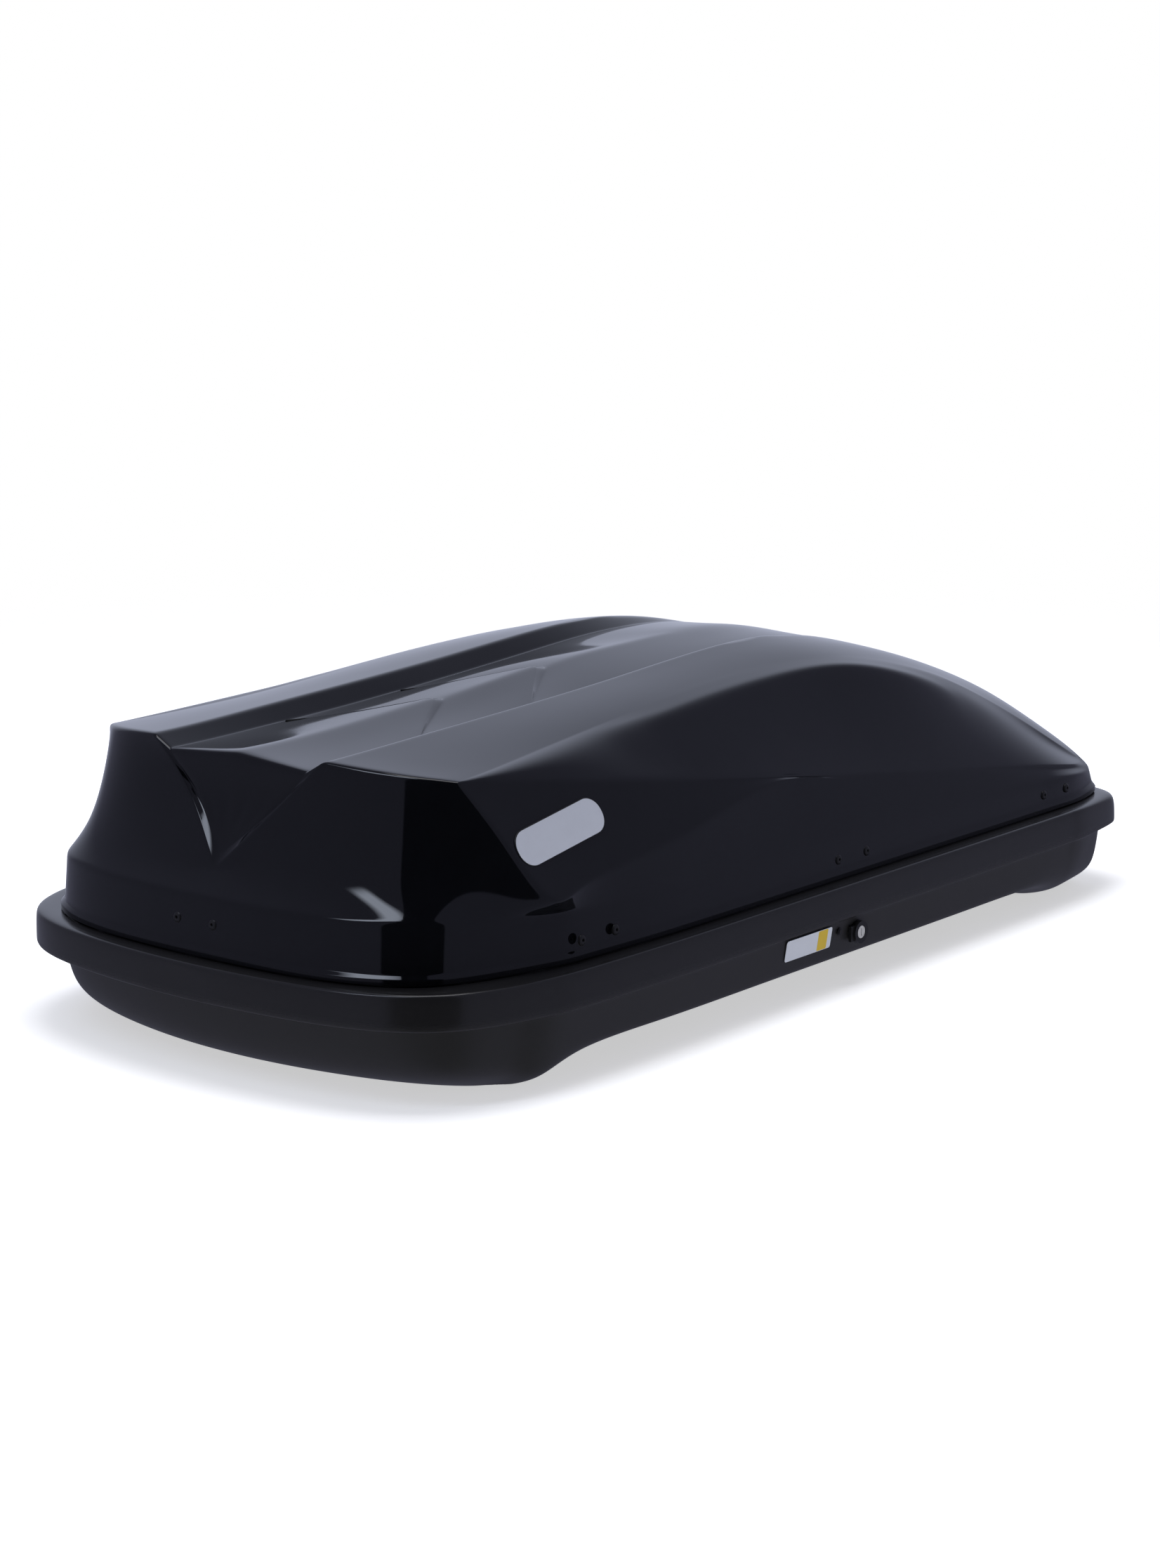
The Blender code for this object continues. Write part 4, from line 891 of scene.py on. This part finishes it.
def softbox(name, right, up, distance, size, radiance):
    """A rectangular light that faces the box."""
    way = studio_way(right, up)
    light = link(name, bpy.data.lights.new(name, "AREA"))
    light.data.shape = "RECTANGLE"
    light.data.size, light.data.size_y = size
    light.data.energy = radiance * pi * size[0] * size[1]
    light.location = way * distance + BOX_MIDDLE
    light.rotation_mode = "QUATERNION"
    light.rotation_quaternion = way.to_track_quat("Z", "Y")
    return light


def glow(tree, way, direction, start, end):
    """1 where a world direction lies close to the given one, fading to 0."""
    dot = node(tree, "ShaderNodeVectorMath", {"operation": "DOT_PRODUCT"}, i0=way,
               i1=Vector(direction).normalized()).outputs["Value"]
    return node(tree, "ShaderNodeMapRange", {"interpolation_type": "SMOOTHSTEP"}, Value=dot,
                From_Min=cos(radians(end)), From_Max=cos(radians(start))).outputs["Result"]


def strip_lamp(tree, way):
    """1 along the arc between the strip lamp's ends, fading to 0."""
    low, high = studio_way(*LAMP_LOW), studio_way(*LAMP_HIGH)
    off_axis = node(tree, "ShaderNodeVectorMath", {"operation": "DOT_PRODUCT"}, i0=way,
                    i1=low.cross(high).normalized()).outputs["Value"]
    across = spread(tree, calc(tree, "ABSOLUTE", off_axis), 1.0, 0.0, 0.040, 0.100)
    return calc(tree, "MULTIPLY", glow(tree, way, low + high, 9, 21), across)


def black_card(tree, way):
    """1 on a tall black card behind the camera, 0 beside and above it."""
    flat = node(tree, "ShaderNodeVectorMath", {"operation": "MULTIPLY"}, i0=way, i1=(1, 1, 0)).outputs[0]
    flat = node(tree, "ShaderNodeVectorMath", {"operation": "NORMALIZE"}, i0=flat).outputs[0]
    height = node(tree, "ShaderNodeSeparateXYZ", Vector=way).outputs["Z"]
    return calc(tree, "MULTIPLY", glow(tree, flat, CARD, 29, 31), spread(tree, height, 1.0, 0.0, 0.96, 0.97))


def make_world():
    """Dim bluish studio, brighter behind the box, with a strip lamp and a black card. White if seen."""
    world = bpy.data.worlds.new("studio")
    bpy.context.scene.world = world
    world.use_nodes = True
    tree = world.node_tree
    way = node(tree, "ShaderNodeTexCoord").outputs["Generated"]
    far = glow(tree, way, -BACK * 0.93 + Vector((0, 0, 0.36)), 8, 48)
    colour = tint(tree, far, ROOM, FAR_GLOW)
    colour = tint(tree, strip_lamp(tree, way), colour, LAMP)
    colour = tint(tree, black_card(tree, way), colour, CARD_BLACK)
    seen = node(tree, "ShaderNodeLightPath").outputs["Is Camera Ray"]
    tree.links.new(tint(tree, seen, colour, WHITE), tree.nodes["Background"].inputs["Color"])


def make_floor():
    """A pale round floor that melts into the white background."""
    bm = bmesh.new()
    bmesh.ops.create_circle(bm, cap_ends=True, segments=96, radius=FLOOR_RADIUS)
    mesh = bpy.data.meshes.new("floor")
    bm.to_mesh(mesh)
    bm.free()
    floor = link("floor", mesh)
    floor.location.z = -0.0002      # just below the tray's lobes
    made, tree, shader, place = new_material("floor", (0.92, 0.92, 0.92), 0.9, Emission_Strength=0.55)
    tree.links.new(tint(tree, noise(tree, place, 3.0), (0.90, 0.90, 0.90), (0.92, 0.92, 0.92)),
                   shader.inputs["Base Color"])
    distance = node(tree, "ShaderNodeVectorMath", {"operation": "LENGTH"}, i0=place).outputs["Value"]
    clear = node(tree, "ShaderNodeMapRange", {"interpolation_type": "SMOOTHSTEP"}, Value=distance,
                 From_Min=FLOOR_FADE[0], From_Max=FLOOR_FADE[1])
    tree.links.new(calc(tree, "SUBTRACT", 1.0, clear.outputs["Result"]), shader.inputs["Alpha"])
    mesh.materials.append(made)
    floor.visible_glossy = False


def make_studio():
    bpy.context.scene.view_settings.view_transform = "Standard"
    make_world()
    make_floor()
    softbox("overhead", 180, 84, 3.0, (2.4, 2.0), 3.4).visible_glossy = False
    softbox("top", 0, 89, 3.0, (1.5, 1.2), 2.2)


finishes = {
    "lid": gloss_lid(),
    "lid_inside": grained("lid_inside", (0.010, 0.010, 0.011), 0.50),
    "tray": tray_abs(),
    "tray_inside": grained("tray_inside", (0.012, 0.012, 0.013), 0.52),
    "zinc": plated("zinc", (0.60, 0.61, 0.63), 0.36),
    "nickel": plated("nickel", (0.66, 0.65, 0.62), 0.26),
    "lock": plated("lock_silver", (0.74, 0.74, 0.73), 0.38, 0.30),
    "nylon": grained("nylon", (0.0075, 0.0075, 0.0082), 0.36, 1500.0, 0.00010),
    "foam": foam(),
    "film": film("white_film", (0.62, 0.65, 0.72), 0.34),
    "yellow_film": film("yellow_film", (0.68, 0.47, 0.02), 0.34),
}
make_camera()
make_lid(finishes)
make_tray(finishes)
make_rivets(finishes["nylon"])
make_badge(finishes)
make_label(finishes)
dress_cad(finishes)
make_studio()
